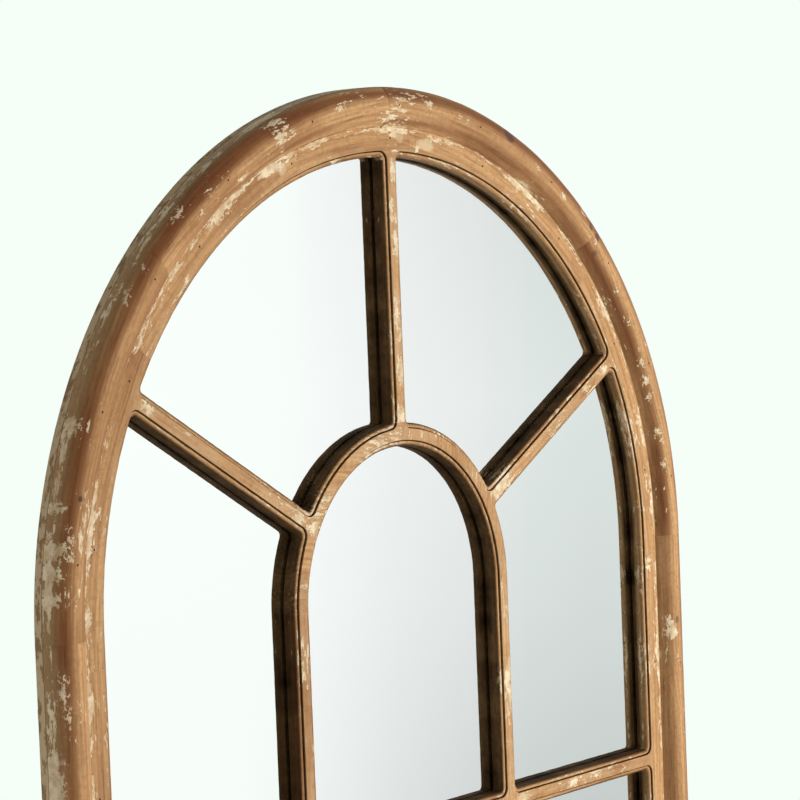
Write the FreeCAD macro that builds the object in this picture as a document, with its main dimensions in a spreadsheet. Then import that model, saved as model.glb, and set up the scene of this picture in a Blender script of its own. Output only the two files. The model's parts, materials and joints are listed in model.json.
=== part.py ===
# Arched window mirror in reclaimed pine.
# A round-headed window sash with glazing bars lies in front of one sheet of mirror. A half-round
# bead moulding runs round the sash. A back frame of flat boards ties both together.
# Millimetres. +Z is up and the front faces -Y. The origin is the bottom centre of the whole thing.
# Depths are measured backwards from the crest of the bead, the foremost line of the front.
import FreeCAD, Part
import math
import os

import Sketcher
from FreeCAD import Placement, Rotation, Vector

doc = FreeCAD.newDocument("ArchedWindowMirror")
X_AXIS = Vector(1, 0, 0)
Y_AXIS = Vector(0, 1, 0)
Z_AXIS = Vector(0, 0, 1)

# ---------------------------------------------------------------- driving dimensions
sizes = doc.addObject("Spreadsheet::Sheet", "Sizes")
SIZES = [
    ("overall_width", "900", "outer side to outer side of the bead moulding"),
    ("overall_height", "1800", "floor line to the top of the arch"),
    ("frame_depth", "18", "face of the sash to the back of the back frame"),
    ("bead_width", "36.6", "outer side to the foot of the bead"),
    ("bead_groove_width", "1.2", "shadow line between bead and sash"),
    ("bead_groove_depth", "2.5", "floor of the shadow line behind the sash face"),
    ("bead_radius", "21.3", "radius of the rounded face of the bead"),
    ("bead_axis_inset", "17", "centre of the rounding, in from the outer side"),
    ("bead_axis_depth", "9.1", "centre of the rounding, behind the sash face"),
    ("sash_width", "25", "bead moulding to the edge of the glass"),
    ("bottom_rail_width", "45", "bead moulding to the glass, along the bottom"),
    ("glue_gap", "0.2", "glue line between curved faces"),
    ("mirror_recess", "13.5", "face of the sash to the front of the mirror"),
    ("mirror_thickness", "4", "silvered glass"),
    ("mirror_rebate", "8.8", "how far the sash laps over the glass"),
    ("mirror_edge_gap", "0.8", "play round the edge of the glass"),
    ("quirk_width", "1", "narrow groove beside each lip"),
    ("quirk_depth", "2.2", "depth of that groove"),
    ("lip_width", "4.35", "wall of a pane to the groove"),
    ("lip_drop", "1.8", "top of the lip behind the sash face"),
    ("lip_radius", "3", "quarter round from the lip down to the wall"),
    ("pane_corner_radius", "4", "router radius in the corners of a pane"),
    ("bar_width", "21.3", "glazing bar, wall to wall"),
    ("inner_arch_radius", "146.9", "centre line of the small arch and its uprights"),
    ("hub_drop", "12.5", "centre of the small arch below the centre of the large one"),
    ("spoke_angle", "30", "slanted spokes above the horizontal"),
    ("first_bar_drop", "228.8", "upper row of bars below the centre of the large arch"),
    ("bar_rows", "3", "rows of bars, with equal panes below the first"),
    ("shoulder_step", "0.6", "ends of the bars clear of the wall, so that no corner is feather-edged"),
    ("tenon_length", "8", "stub tenons on the ends of the bars"),
    ("tenon_width", "10", "tenons across the bar"),
    ("tenon_thickness", "5", "tenons front to back"),
    ("tenon_setback", "5", "front of the tenons behind the sash face"),
    ("sash_joint_drop", "27", "joint of sash stile and sash arch below the arch centre"),
    ("sash_joint_a", "42", "joints of the sash arch, in degrees from the right-hand springing"),
    ("sash_joint_b", "86", ""),
    ("sash_joint_c", "109", ""),
    ("sash_joint_d", "146", ""),
    ("bead_joint_a", "46", "joints of the bead arch, in degrees from the right-hand springing"),
    ("bead_joint_b", "92", ""),
    ("bead_joint_c", "137", ""),
    ("back_frame_thickness", "8", "flat boards behind bead and sash"),
    ("back_joint_drop", "60", "joint of back stile and back arch below the arch centre"),
    ("back_joint_angle", "60", "from each springing up to the crown board"),
    ("backboard_thickness", "3", "hardboard over the back of the mirror"),
    ("backboard_lap", "22", "backboard over the back frame"),
    ("screw_edge_distance", "11", "backboard screws in from the edge of the board"),
    ("screw_diameter", "3.5", "wood screws in the back"),
    ("screw_head_diameter", "7", ""),
    ("screw_head_height", "1.8", ""),
    ("board_screw_length", "9.5", "under the head"),
    ("nail_diameter", "1.6", "finishing nails"),
    ("nail_head_diameter", "2.6", ""),
    ("nail_head_height", "1", ""),
    ("nail_sink", "1.5", "head of a nail below the wood it is driven through"),
    ("nail_point_cover", "3", "wood left behind the point of a nail"),
    ("nail_clearance", "0.1", "hole larger than the nail"),
    ("hanger_drop", "50", "pivot of the rings below the arch centre"),
    ("strap_inset", "16", "centre of a strap in from the outer side"),
    ("strap_width", "16", "steel strap of a hanger"),
    ("strap_thickness", "1.2", ""),
    ("strap_length", "50", "pivot to the end of the strap"),
    ("strap_screw_first", "27", "pivot to the upper screw"),
    ("strap_screw_second", "42", "pivot to the lower screw"),
    ("strap_screw_length", "14", "under the head"),
    ("ring_wire", "3", "diameter of the ring's wire"),
    ("ring_play", "0.25", "wire to the eye that holds it, all round"),
    ("ring_inner_width", "20", "clear width inside the ring"),
    ("ring_corner_radius", "3", "bend at each end of the straight side"),
    ("ring_straight", "8", "pivot down to the round end"),
    ("bumper_diameter", "20", "rubber bumpers on the back"),
    ("bumper_thickness", "7", "clears the hangers"),
    ("bumper_edge", "1", "chamfer round a bumper"),
    ("bumper_height", "40", "lower bumpers above the floor line"),
    ("bumper_angle", "60", "upper bumpers round the arch, above the horizontal"),
]
for row, (alias, number, note) in enumerate(SIZES, start=1):
    sizes.set(f"A{row}", alias)
    sizes.set(f"B{row}", number)
    sizes.set(f"C{row}", note)
    sizes.setAlias(f"B{row}", alias)
doc.recompute()

# ---------------------------------------------------------------- places that follow from them
places = doc.addObject("Spreadsheet::Sheet", "Places")
PLACES = [
    ("half_width", "=Sizes.overall_width / 2"),
    ("arch_centre", "=Sizes.overall_height - half_width"),
    ("hub_height", "=arch_centre - Sizes.hub_drop"),
    ("face_depth", "=Sizes.bead_radius - Sizes.bead_axis_depth"),
    ("frame_back", "=face_depth + Sizes.frame_depth"),
    ("back_front", "=frame_back - Sizes.back_frame_thickness"),
    ("total_depth", "=frame_back + Sizes.bumper_thickness"),
    ("front_y", "=-total_depth / 2"),
    ("moulding_inner", "=half_width - Sizes.bead_width - Sizes.bead_groove_width"),
    ("bead_foot", "=half_width - Sizes.bead_width"),
    ("bead_axis", "=half_width - Sizes.bead_axis_inset"),
    ("bead_axis_level", "=face_depth + Sizes.bead_axis_depth"),
    ("bead_edge_level", "=bead_axis_level - sqrt(Sizes.bead_radius^2 - Sizes.bead_axis_inset^2)"),
    ("bead_foot_level", "=bead_axis_level - sqrt(Sizes.bead_radius^2 - (bead_axis - bead_foot)^2)"),
    ("groove_level", "=face_depth + Sizes.bead_groove_depth"),
    ("sash_outer", "=moulding_inner - Sizes.glue_gap"),
    ("sash_wall", "=moulding_inner - Sizes.sash_width"),
    ("rebate_radius", "=sash_wall + Sizes.mirror_rebate"),
    ("tongue_radius", "=rebate_radius - Sizes.glue_gap"),
    ("moulding_bottom", "=half_width - moulding_inner"),
    ("sash_bottom", "=moulding_bottom + Sizes.glue_gap"),
    ("wall_bottom", "=moulding_bottom + Sizes.bottom_rail_width"),
    ("rebate_bottom", "=wall_bottom - Sizes.mirror_rebate"),
    ("tongue_bottom", "=rebate_bottom + Sizes.glue_gap"),
    ("glass_front", "=face_depth + Sizes.mirror_recess"),
    ("glass_back", "=glass_front + Sizes.mirror_thickness"),
    ("glass_radius", "=rebate_radius - Sizes.mirror_edge_gap"),
    ("glass_bottom", "=rebate_bottom + Sizes.mirror_edge_gap"),
    ("board_radius", "=rebate_radius + Sizes.backboard_lap"),
    ("board_bottom", "=rebate_bottom - Sizes.backboard_lap"),
    ("leg_outer", "=Sizes.inner_arch_radius + Sizes.bar_width / 2"),
    ("leg_inner", "=Sizes.inner_arch_radius - Sizes.bar_width / 2"),
    ("zone_radius", "=sash_wall - Sizes.shoulder_step"),
    ("zone_bottom", "=wall_bottom + Sizes.shoulder_step"),
    ("host_outer", "=leg_outer + Sizes.shoulder_step"),
    ("host_inner", "=leg_inner - Sizes.shoulder_step"),
    ("first_bar", "=arch_centre - Sizes.first_bar_drop"),
    ("lower_height", "=first_bar - Sizes.bar_width / 2 - wall_bottom"),
    ("pane_height", "=(lower_height - (Sizes.bar_rows - 1) * Sizes.bar_width) / Sizes.bar_rows"),
    ("bar_pitch", "=pane_height + Sizes.bar_width"),
    ("bar_region", "=Sizes.bar_width + 3 * Sizes.pane_corner_radius"),
    ("tenon_level", "=face_depth + Sizes.tenon_setback"),
    ("nail_point", "=frame_back - Sizes.nail_point_cover"),
    ("pivot_height", "=arch_centre - Sizes.hanger_drop"),
    ("strap_x", "=half_width - Sizes.strap_inset"),
    ("eye_radius", "=Sizes.ring_wire / 2 + Sizes.ring_play + Sizes.strap_thickness"),
    ("pivot_level", "=frame_back + eye_radius"),
    ("bumper_radius", "=half_width - Sizes.strap_inset"),
]
for row, (alias, formula) in enumerate(PLACES, start=1):
    places.set(f"A{row}", alias)
    places.set(f"B{row}", formula)
    places.setAlias(f"B{row}", alias)
doc.recompute()


def size(alias):
    return float(sizes.get(alias))


def place(alias):
    return float(places.get(alias))


FRONT = place("front_y")
# A region that parts pieces runs right through the depth.
DEEP = "2 * Places.total_depth"
SHALLOW_Y = "-Places.total_depth"
subparts = []


def keep(piece, label):
    """Name a finished piece of the mirror, and note it for writing."""
    piece.Label = label
    subparts.append(piece)
    return piece


def set_place(item, base, turn=None, axis=Y_AXIS):
    """Bind the base point of an object, and its turn about an axis, to the sheets."""
    if turn is not None:
        item.Placement = Placement(Vector(), Rotation(axis, 1))
        item.setExpression("Placement.Rotation.Angle", turn)
    for axis_name, expression in zip("xyz", base):
        if expression is not None:
            item.setExpression(f"Placement.Base.{axis_name}", expression)


# ---------------------------------------------------------------- ways to make a piece
def origin_feature(body, role):
    return next(item for item in body.Origin.OriginFeatures if item.Role == role)


def sketch_on(body, plane, name):
    sketch = body.newObject("Sketcher::SketchObject", name)
    sketch.AttachmentSupport = [(origin_feature(body, plane), "")]
    sketch.MapMode = "FlatFace"
    return sketch


def point_of(corner):
    return Vector(place(corner[0]), place(corner[1]), 0)


def fix_corner(sketch, line, end, corner):
    """Tie one end of a line to a pair of named places."""
    for kind, alias in zip(("DistanceX", "DistanceY"), corner):
        index = sketch.addConstraint(Sketcher.Constraint(kind, -1, 1, line, end, place(alias)))
        sketch.setExpression(f"Constraints[{index}]", f"Places.{alias}")


def draw_outline(sketch, corners, rounded=None, centre=None, radius=None):
    """Closed outline through named corners. The side after corner number `rounded` is an arc."""
    count = len(corners)
    for index, corner in enumerate(corners):
        here = point_of(corner)
        there = point_of(corners[(index + 1) % count])
        if index == rounded:
            middle = point_of(centre)
            start = math.atan2(there.y - middle.y, there.x - middle.x)
            end = math.atan2(here.y - middle.y, here.x - middle.x)
            circle = Part.Circle(middle, Z_AXIS, size(radius))
            sketch.addGeometry(Part.ArcOfCircle(circle, start, end))
        else:
            sketch.addGeometry(Part.LineSegment(here, there))
    for index, corner in enumerate(corners):
        following = (index + 1) % count
        end_of_this = 1 if index == rounded else 2
        start_of_next = 2 if following == rounded else 1
        sketch.addConstraint(
            Sketcher.Constraint("Coincident", index, end_of_this, following, start_of_next))
        if index != rounded:
            fix_corner(sketch, index, 1, corner)
        else:
            fix_corner(sketch, index - 1, 2, corner)
    if rounded is not None:
        bend = sketch.addConstraint(Sketcher.Constraint("Radius", rounded, size(radius)))
        sketch.setExpression(f"Constraints[{bend}]", f"Sizes.{radius}")


BEAD_SECTION = dict(
    corners=[
        ("moulding_inner", "back_front"),
        ("half_width", "back_front"),
        ("half_width", "bead_edge_level"),
        ("bead_foot", "bead_foot_level"),
        ("bead_foot", "groove_level"),
        ("moulding_inner", "groove_level"),
    ],
    rounded=2,
    centre=("bead_axis", "bead_axis_level"),
    radius="bead_radius",
)
BACK_SECTION = dict(
    corners=[
        ("rebate_radius", "back_front"),
        ("half_width", "back_front"),
        ("half_width", "frame_back"),
        ("rebate_radius", "frame_back"),
    ],
)


def moulding_body(name, section, turn, base_z="Places.arch_centre"):
    """An empty body with the section drawn in it. Its X points outwards, away from the arch centre."""
    body = doc.addObject("PartDesign::Body", name)
    set_place(body, (None, "Places.front_y", base_z), turn)
    sketch = sketch_on(body, "XY_Plane", name + "_section")
    draw_outline(sketch, **section)
    return body, sketch


def straight_run(body, sketch, length, reverse=False, both_ways=False):
    pad = body.newObject("PartDesign::Pad", body.Name + "_run")
    pad.Profile = sketch
    pad.Reversed = reverse
    pad.Midplane = both_ways
    pad.setExpression("Length", length)
    return pad


def curved_run(body, sketch, sweep, reverse=True):
    turn = body.newObject("PartDesign::Revolution", body.Name + "_bend")
    turn.Profile = sketch
    turn.ReferenceAxis = (origin_feature(body, "Y_Axis"), [""])
    turn.Reversed = reverse
    turn.setExpression("Angle", sweep)
    return turn


def box(name, length, width, height, base, turn=None):
    item = doc.addObject("Part::Box", name)
    for side, expression in (("Length", length), ("Width", width), ("Height", height)):
        item.setExpression(side, expression)
    set_place(item, base, turn)
    return item


def wedge(name, radius, sweep, centre_height, start):
    """Sector of a disc through the whole depth, from the angle `start` through `sweep` degrees."""
    item = doc.addObject("Part::Cylinder", name)
    item.setExpression("Radius", radius)
    item.setExpression("Height", DEEP)
    item.setExpression("Angle", sweep)
    # The cylinder's axis is laid along Y, so that its angle counts up from +X towards +Z.
    item.Placement = Placement(Vector(), Rotation(X_AXIS, 90))
    holder = doc.addObject("Part::Compound", name + "_turned")
    holder.Links = [item]
    item.setExpression("Placement.Base.y", "Places.total_depth")
    set_place(holder, (None, None, centre_height), f"-({start})")
    return holder


def cut(name, base, tool):
    item = doc.addObject("Part::Cut", name)
    item.Base = base
    item.Tool = tool
    return item


def common(name, first, second):
    item = doc.addObject("Part::Common", name)
    item.Base = first
    item.Tool = second
    return item


def fuse(name, pieces):
    item = doc.addObject("Part::MultiFuse", name)
    item.Shapes = pieces
    return item


def feature(name, shape):
    item = doc.addObject("Part::Feature", name)
    item.Shape = shape
    return item


def peg(x, z, start, end, radius):
    """Round peg or hole along the depth, between two depths."""
    return Part.makeCylinder(radius, end - start, Vector(x, FRONT + start, z), Y_AXIS)


def on_arch(radius, angle):
    """Point on a circle round the centre of the large arch."""
    turn = math.radians(angle)
    return radius * math.cos(turn), place("arch_centre") + radius * math.sin(turn)


# ---------------------------------------------------------------- fixings: where they go
HALF = place("half_width")
CENTRE = place("arch_centre")
BEAD_LINE = place("bead_axis")
SASH_LINE = (place("rebate_radius") + place("sash_outer")) / 2
BOARD_LINE = place("board_radius") - size("screw_edge_distance")
STILE_NAILS = 5
ARCH_NAILS = 11
SASH_ARCH_NAILS = 9
RAIL_NAILS = 4
STILE_SCREWS = 6
ARCH_SCREWS = 9
RAIL_SCREWS = 4


def spread(count, low, high):
    """Evenly spaced values that stay half a step clear of both ends."""
    step = (high - low) / count
    return [low + step * (number + 0.5) for number in range(count)]


def ring_of_spots(line, bottom, per_stile, per_arch, per_rail):
    """Fixing spots up both stiles, round the arch and along the bottom, at one distance from the edge."""
    spots = []
    for height in spread(per_stile, bottom, CENTRE):
        spots += [(-line, height), (line, height)]
    for angle in spread(per_arch, 0, 180):
        spots.append(on_arch(line, angle))
    for x in spread(per_rail, -line, line):
        spots.append((x, bottom))
    return spots


bead_nail_spots = ring_of_spots(BEAD_LINE, HALF - BEAD_LINE, STILE_NAILS, ARCH_NAILS, RAIL_NAILS)
sash_bottom_line = (place("rebate_bottom") + place("sash_bottom")) / 2
sash_nail_spots = ring_of_spots(SASH_LINE, sash_bottom_line, STILE_NAILS, SASH_ARCH_NAILS, RAIL_NAILS)
board_bottom_line = place("board_bottom") + size("screw_edge_distance")
board_screw_spots = ring_of_spots(BOARD_LINE, board_bottom_line, STILE_SCREWS, ARCH_SCREWS, RAIL_SCREWS)


def nail(x, z, surface):
    head_top = surface + size("nail_sink")
    head_end = head_top + size("nail_head_height")
    shank = peg(x, z, head_top, place("nail_point"), size("nail_diameter") / 2)
    return shank.fuse(peg(x, z, head_top, head_end, size("nail_head_diameter") / 2))


def nail_hole(x, z, surface):
    slack = size("nail_clearance")
    head_end = surface + size("nail_sink") + size("nail_head_height") + slack
    bore = peg(x, z, surface - 1, place("nail_point") + slack, size("nail_diameter") / 2 + slack)
    return bore.fuse(peg(x, z, surface - 1, head_end, size("nail_head_diameter") / 2 + slack))


def screw(x, z, seat, length):
    """Pan-head wood screw driven forwards from a seat on the back."""
    shank = peg(x, z, seat - length, seat, size("screw_diameter") / 2)
    head = peg(x, z, seat, seat + size("screw_head_height"), size("screw_head_diameter") / 2)
    rim = [edge for edge in head.Edges if abs(edge.BoundBox.YMin - head.BoundBox.YMax) < 0.01]
    return shank.fuse(head.makeFillet(size("screw_head_height") * 0.6, rim))


def screw_hole(x, z, seat, length):
    slack = size("nail_clearance")
    return peg(x, z, seat - length - slack, seat + 1, size("screw_diameter") / 2 + slack)


board_seat = place("frame_back") + size("backboard_thickness")
strap_seat = place("frame_back") + size("strap_thickness")
strap_spots = {}
for side, sign in (("left", -1), ("right", 1)):
    strap_spots[side] = [
        (sign * place("strap_x"), place("pivot_height") - size(drop))
        for drop in ("strap_screw_first", "strap_screw_second")
    ]

hole_shapes = [nail_hole(x, z, 0) for x, z in bead_nail_spots]
hole_shapes += [nail_hole(x, z, place("face_depth")) for x, z in sash_nail_spots]
hole_shapes += [screw_hole(x, z, board_seat, size("board_screw_length")) for x, z in board_screw_spots]
for spots in strap_spots.values():
    hole_shapes += [screw_hole(x, z, strap_seat, size("strap_screw_length")) for x, z in spots]
fixing_holes = feature("fixing_holes", Part.makeCompound(hole_shapes))

# ---------------------------------------------------------------- bead moulding
# Half-round strip, mitred at the two bottom corners. The arch is sawn from four boards, butted.
STILE_RUN = "Places.arch_centre"


def bead_stile(label, turn, reverse):
    body, section = moulding_body(label + "_body", BEAD_SECTION, turn)
    straight_run(body, section, STILE_RUN, reverse=reverse)
    return body


# A square on its corner. Its upper sides are the two mitres, seen from the front.
MITRE_SIDE = "sqrt(2) * Places.half_width"
mitre_square = box(
    "bottom_mitre_square",
    MITRE_SIDE,
    DEEP,
    MITRE_SIDE,
    (None, SHALLOW_Y, "-Places.half_width"),
    "-45",
)

for side, turn, reverse in (("left", "180", False), ("right", "0", True)):
    stile = bead_stile(f"bead_stile_{side}", turn, reverse)
    mitred = cut(f"bead_stile_{side}_mitred", stile, mitre_square)
    keep(cut(f"bead_stile_{side}_drilled", mitred, fixing_holes), f"bead_stile_{side}")

bottom_body, bottom_section = moulding_body("bead_bottom_body", BEAD_SECTION, "90", "Places.half_width")
straight_run(bottom_body, bottom_section, "Sizes.overall_width", both_ways=True)
bottom_mitred = common("bead_bottom_mitred", bottom_body, mitre_square)
keep(cut("bead_bottom_drilled", bottom_mitred, fixing_holes), "bead_bottom")

BEAD_JOINTS = ["0", "Sizes.bead_joint_a", "Sizes.bead_joint_b", "Sizes.bead_joint_c", "180"]
for number, (start, end) in enumerate(zip(BEAD_JOINTS, BEAD_JOINTS[1:]), start=1):
    name = f"bead_arch_{number}"
    body, section = moulding_body(name + "_body", BEAD_SECTION, f"-({start})")
    curved_run(body, section, f"({end}) - ({start})")
    keep(cut(name + "_drilled", body, fixing_holes), name)

# ---------------------------------------------------------------- back frame
# Flat boards. Their joints stand clear of the joints in front, so that each layer ties the other.
BACK_STILE = "Places.arch_centre - Sizes.back_joint_drop"
for side, base_x in (("left", "-Places.half_width"), ("right", "Places.rebate_radius")):
    board = box(
        f"back_stile_{side}_board",
        "Places.half_width - Places.rebate_radius",
        "Sizes.back_frame_thickness",
        BACK_STILE,
        (base_x, "Places.front_y + Places.back_front", None),
    )
    keep(cut(f"back_stile_{side}_drilled", board, fixing_holes), f"back_stile_{side}")

board = box(
    "back_bottom_board",
    "2 * Places.rebate_radius",
    "Sizes.back_frame_thickness",
    "Places.rebate_bottom",
    ("-Places.rebate_radius", "Places.front_y + Places.back_front", None),
)
keep(cut("back_bottom_drilled", board, fixing_holes), "back_bottom")

for label, turn, reverse in (("back_arch_right", "0", True), ("back_arch_left", "180", False)):
    body, section = moulding_body(label + "_body", BACK_SECTION, turn)
    curved_run(body, section, "Sizes.back_joint_angle", reverse=reverse)
    straight_run(body, section, "Sizes.back_joint_drop", reverse=reverse)
    keep(cut(label + "_drilled", body, fixing_holes), label)
body, section = moulding_body("back_arch_crown_body", BACK_SECTION, "-Sizes.back_joint_angle")
curved_run(body, section, "180 - 2 * Sizes.back_joint_angle")
keep(cut("back_arch_crown_drilled", body, fixing_holes), "back_arch_crown")


# ---------------------------------------------------------------- sash and bars, routed as one
# The joiner glues the net of sash and bars, and then runs a router round each pane. The bit leaves a
# quirk, a small quarter-round lip and rounded corners. So the net is shaped here as one, and then
# parted along its joints.
def arch_outline(radius, bottom, centre):
    """Face at Y = 0: straight sides, a flat foot and a half round head."""
    left_foot = Vector(-radius, 0, bottom)
    right_foot = Vector(radius, 0, bottom)
    right_spring = Vector(radius, 0, centre)
    left_spring = Vector(-radius, 0, centre)
    head = Part.Arc(right_spring, Vector(0, 0, centre + radius), left_spring).toShape()
    sides = [
        Part.makeLine(left_foot, right_foot),
        Part.makeLine(right_foot, right_spring),
        head,
        Part.makeLine(left_spring, left_foot),
    ]
    return Part.Face(Part.Wire(sides))


def slab(face, start, end):
    """Extrude a face that lies at Y = 0 between two depths."""
    solid = face.extrude(Vector(0, end - start, 0))
    solid.translate(Vector(0, FRONT + start, 0))
    return solid


def strip(low_x, high_x, low_z, high_z):
    corners = [
        Vector(low_x, 0, low_z),
        Vector(high_x, 0, low_z),
        Vector(high_x, 0, high_z),
        Vector(low_x, 0, high_z),
    ]
    return Part.Face(Part.makePolygon(corners + corners[:1]))


FACE = place("face_depth")
GLASS = place("glass_front")
HUB = place("hub_height")
WALL = place("sash_wall")
LEG_OUTER = place("leg_outer")
LEG_INNER = place("leg_inner")
BAR = size("bar_width")
BAR_ROWS = int(size("bar_rows"))
bar_heights = [place("first_bar") - row * place("bar_pitch") for row in range(BAR_ROWS)]
SPOKES = {
    "spoke_right": size("spoke_angle"),
    "spoke_top": 90.0,
    "spoke_left": 180.0 - size("spoke_angle"),
}

opening = arch_outline(WALL, place("wall_bottom"), CENTRE)
bar_faces = []
inner_ring = arch_outline(LEG_OUTER, 0, HUB).cut(arch_outline(LEG_INNER, -BAR, HUB))
bar_faces.append(inner_ring)
for height in bar_heights:
    bar_faces.append(strip(-HALF, HALF, height - BAR / 2, height + BAR / 2))
for angle in SPOKES.values():
    spoke_face = strip(size("inner_arch_radius"), HALF, -BAR / 2, BAR / 2)
    spoke_face.rotate(Vector(), Y_AXIS, -angle)
    spoke_face.translate(Vector(0, 0, HUB))
    bar_faces.append(spoke_face)
pane_faces = opening.cut(bar_faces).Faces

CORNER = size("pane_corner_radius")
LIP = size("lip_width")


def on_outline(edge, outline):
    """Whether the middle of an edge lies on an outline, seen from the front."""
    middle = edge.valueAt((edge.FirstParameter + edge.LastParameter) / 2)
    middle.y = 0
    return outline.distToShape(Part.Vertex(middle))[0] < 0.01


def router_waste(pane):
    """What the bit takes away round one pane: the pane itself, the lip's rounding and the quirk."""
    wall_line = pane.makeOffset2D(-CORNER).makeOffset2D(CORNER)
    lip_line = wall_line.makeOffset2D(LIP)
    quirk_line = wall_line.makeOffset2D(LIP + size("quirk_width"))
    ledge = FACE + size("lip_drop")
    above = FACE - 1
    waste = slab(lip_line, above, ledge).fuse(slab(wall_line, above, GLASS + 1)).removeSplitter()
    ledge_edges = [
        edge for edge in waste.Edges
        if edge.BoundBox.YLength < 0.01 and abs(edge.BoundBox.YMin - FRONT - ledge) < 0.01
    ]
    hollow = [edge for edge in ledge_edges if on_outline(edge, wall_line.OuterWire)]
    waste = waste.makeFillet(size("lip_radius"), hollow)
    quirk = slab(quirk_line, above, FACE + size("quirk_depth")).cut(slab(lip_line, above - 1, GLASS))
    return waste.fuse(quirk)


net = slab(arch_outline(place("sash_outer"), place("sash_bottom"), CENTRE), FACE, place("back_front"))
tongue = arch_outline(place("tongue_radius"), place("tongue_bottom"), CENTRE)
net = net.fuse(slab(tongue, FACE, GLASS)).removeSplitter()
net = net.cut([router_waste(pane) for pane in pane_faces])
routed_net = feature("routed_net", net)


# Stub tenons on the ends of the bars, let into the piece that each bar meets.
def tenon(x, z, angle):
    """Tenon that starts inside a bar's end at (x, z) and points along the angle."""
    root = size("tenon_length") / 2
    block = Part.makeBox(
        root + size("tenon_length"),
        size("tenon_thickness"),
        size("tenon_width"),
        Vector(-root, FRONT + place("tenon_level"), -size("tenon_width") / 2),
    )
    block.rotate(Vector(), Y_AXIS, -angle)
    block.translate(Vector(x, 0, z))
    return block


tenons = {}
bay_edges = {
    "left": (-WALL, -LEG_OUTER),
    "middle": (-LEG_INNER, LEG_INNER),
    "right": (LEG_OUTER, WALL),
}
for row, height in enumerate(bar_heights, start=1):
    for bay, (low, high) in bay_edges.items():
        tenons[f"bar_{bay}_{row}"] = [tenon(low, height, 180), tenon(high, height, 0)]
for sign, side in ((-1, "left"), (1, "right")):
    tenons[f"upright_{side}"] = [
        tenon(sign * size("inner_arch_radius"), place("wall_bottom"), -90),
        tenon(sign * size("inner_arch_radius"), HUB, 90),
    ]


def wall_reach(angle):
    """Distance from the hub, along a spoke, to the wall of the large arch."""
    turn = math.radians(angle)
    fall = size("hub_drop") * math.sin(turn)
    return fall + math.sqrt(WALL ** 2 - size("hub_drop") ** 2 + fall ** 2)


for name, angle in SPOKES.items():
    turn = math.radians(angle)
    spoke_ends = []
    for reach, way in ((LEG_OUTER, angle + 180), (wall_reach(angle), angle)):
        spoke_ends.append(tenon(reach * math.cos(turn), HUB + reach * math.sin(turn), way))
    tenons[name] = spoke_ends
tenon_shapes = {name: feature(f"{name}_tenons", Part.makeCompound(ends)) for name, ends in tenons.items()}
all_tenons = doc.addObject("Part::Compound", "all_tenons")
all_tenons.Links = list(tenon_shapes.values())

# The net with every mortise sunk, parted into the sash all round and the bars inside it.
mortised_net = cut("mortised_net", routed_net, all_tenons)
zone_outline = arch_outline(place("zone_radius"), place("zone_bottom"), CENTRE)
inner_zone = feature("inner_zone", slab(zone_outline, -1, place("total_depth")))
sash_ring = cut("sash_ring_drilled", cut("sash_ring", mortised_net, inner_zone), fixing_holes)
bar_net = common("bar_net", mortised_net, inner_zone)


def parted(label, source, region, tenoned=False):
    """One piece of the net: its share, with its own tenons."""
    piece = common(label + "_share", source, region)
    if tenoned:
        piece = fuse(label + "_tenoned", [piece, tenon_shapes[label]])
    return keep(piece, label)


# Sash stiles, arch segments and bottom rail.
for side, base_x in (("left", "-Places.half_width"), ("right", "Places.zone_radius")):
    region = box(
        f"sash_stile_{side}_region",
        "Places.half_width - Places.zone_radius",
        DEEP,
        "Places.arch_centre - Sizes.sash_joint_drop",
        (base_x, SHALLOW_Y, None),
    )
    parted(f"sash_stile_{side}", sash_ring, region)

SASH_JOINTS = ["0", *(f"Sizes.sash_joint_{letter}" for letter in "abcd"), "180"]
for number, (start, end) in enumerate(zip(SASH_JOINTS, SASH_JOINTS[1:]), start=1):
    name = f"sash_arch_{number}"
    sweep = f"({end}) - ({start})"
    region = wedge(name + "_sector", "Places.half_width", sweep, "Places.arch_centre", start)
    if number in (1, len(SASH_JOINTS) - 1):
        base_x = "Places.zone_radius" if number == 1 else "-Places.half_width"
        foot = box(
            name + "_foot",
            "Places.half_width - Places.zone_radius",
            DEEP,
            "Sizes.sash_joint_drop",
            (base_x, SHALLOW_Y, "Places.arch_centre - Sizes.sash_joint_drop"),
        )
        region = fuse(name + "_region", [region, foot])
    parted(name, sash_ring, region)

rail_low = box(
    "sash_rail_region",
    "2 * Places.zone_radius",
    DEEP,
    "Places.zone_bottom",
    ("-Places.zone_radius", SHALLOW_Y, None),
)
rail_corners = box(
    "sash_rail_corner_region",
    "2 * Places.zone_radius",
    DEEP,
    "2 * Sizes.pane_corner_radius",
    ("-Places.zone_radius", SHALLOW_Y, "Places.zone_bottom"),
)
leg_regions = []
for side, base_x in (("left", "-Places.host_outer"), ("right", "Places.host_inner")):
    leg_regions.append(box(
        f"upright_{side}_region",
        "Places.host_outer - Places.host_inner",
        DEEP,
        "Places.hub_height - Places.zone_bottom",
        (base_x, SHALLOW_Y, "Places.zone_bottom"),
    ))
rail_fillets = cut("rail_fillets_left", common("rail_fillets", bar_net, rail_corners), leg_regions[0])
rail_fillets = cut("rail_fillets_both", rail_fillets, leg_regions[1])
keep(fuse("sash_rail", [common("sash_rail_lower", sash_ring, rail_low), rail_fillets]), "sash_bottom_rail")

# Uprights. The horizontal bars are let into them from both sides.
for side, region in zip(("left", "right"), leg_regions):
    parted(f"upright_{side}", bar_net, region, tenoned=True)

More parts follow.
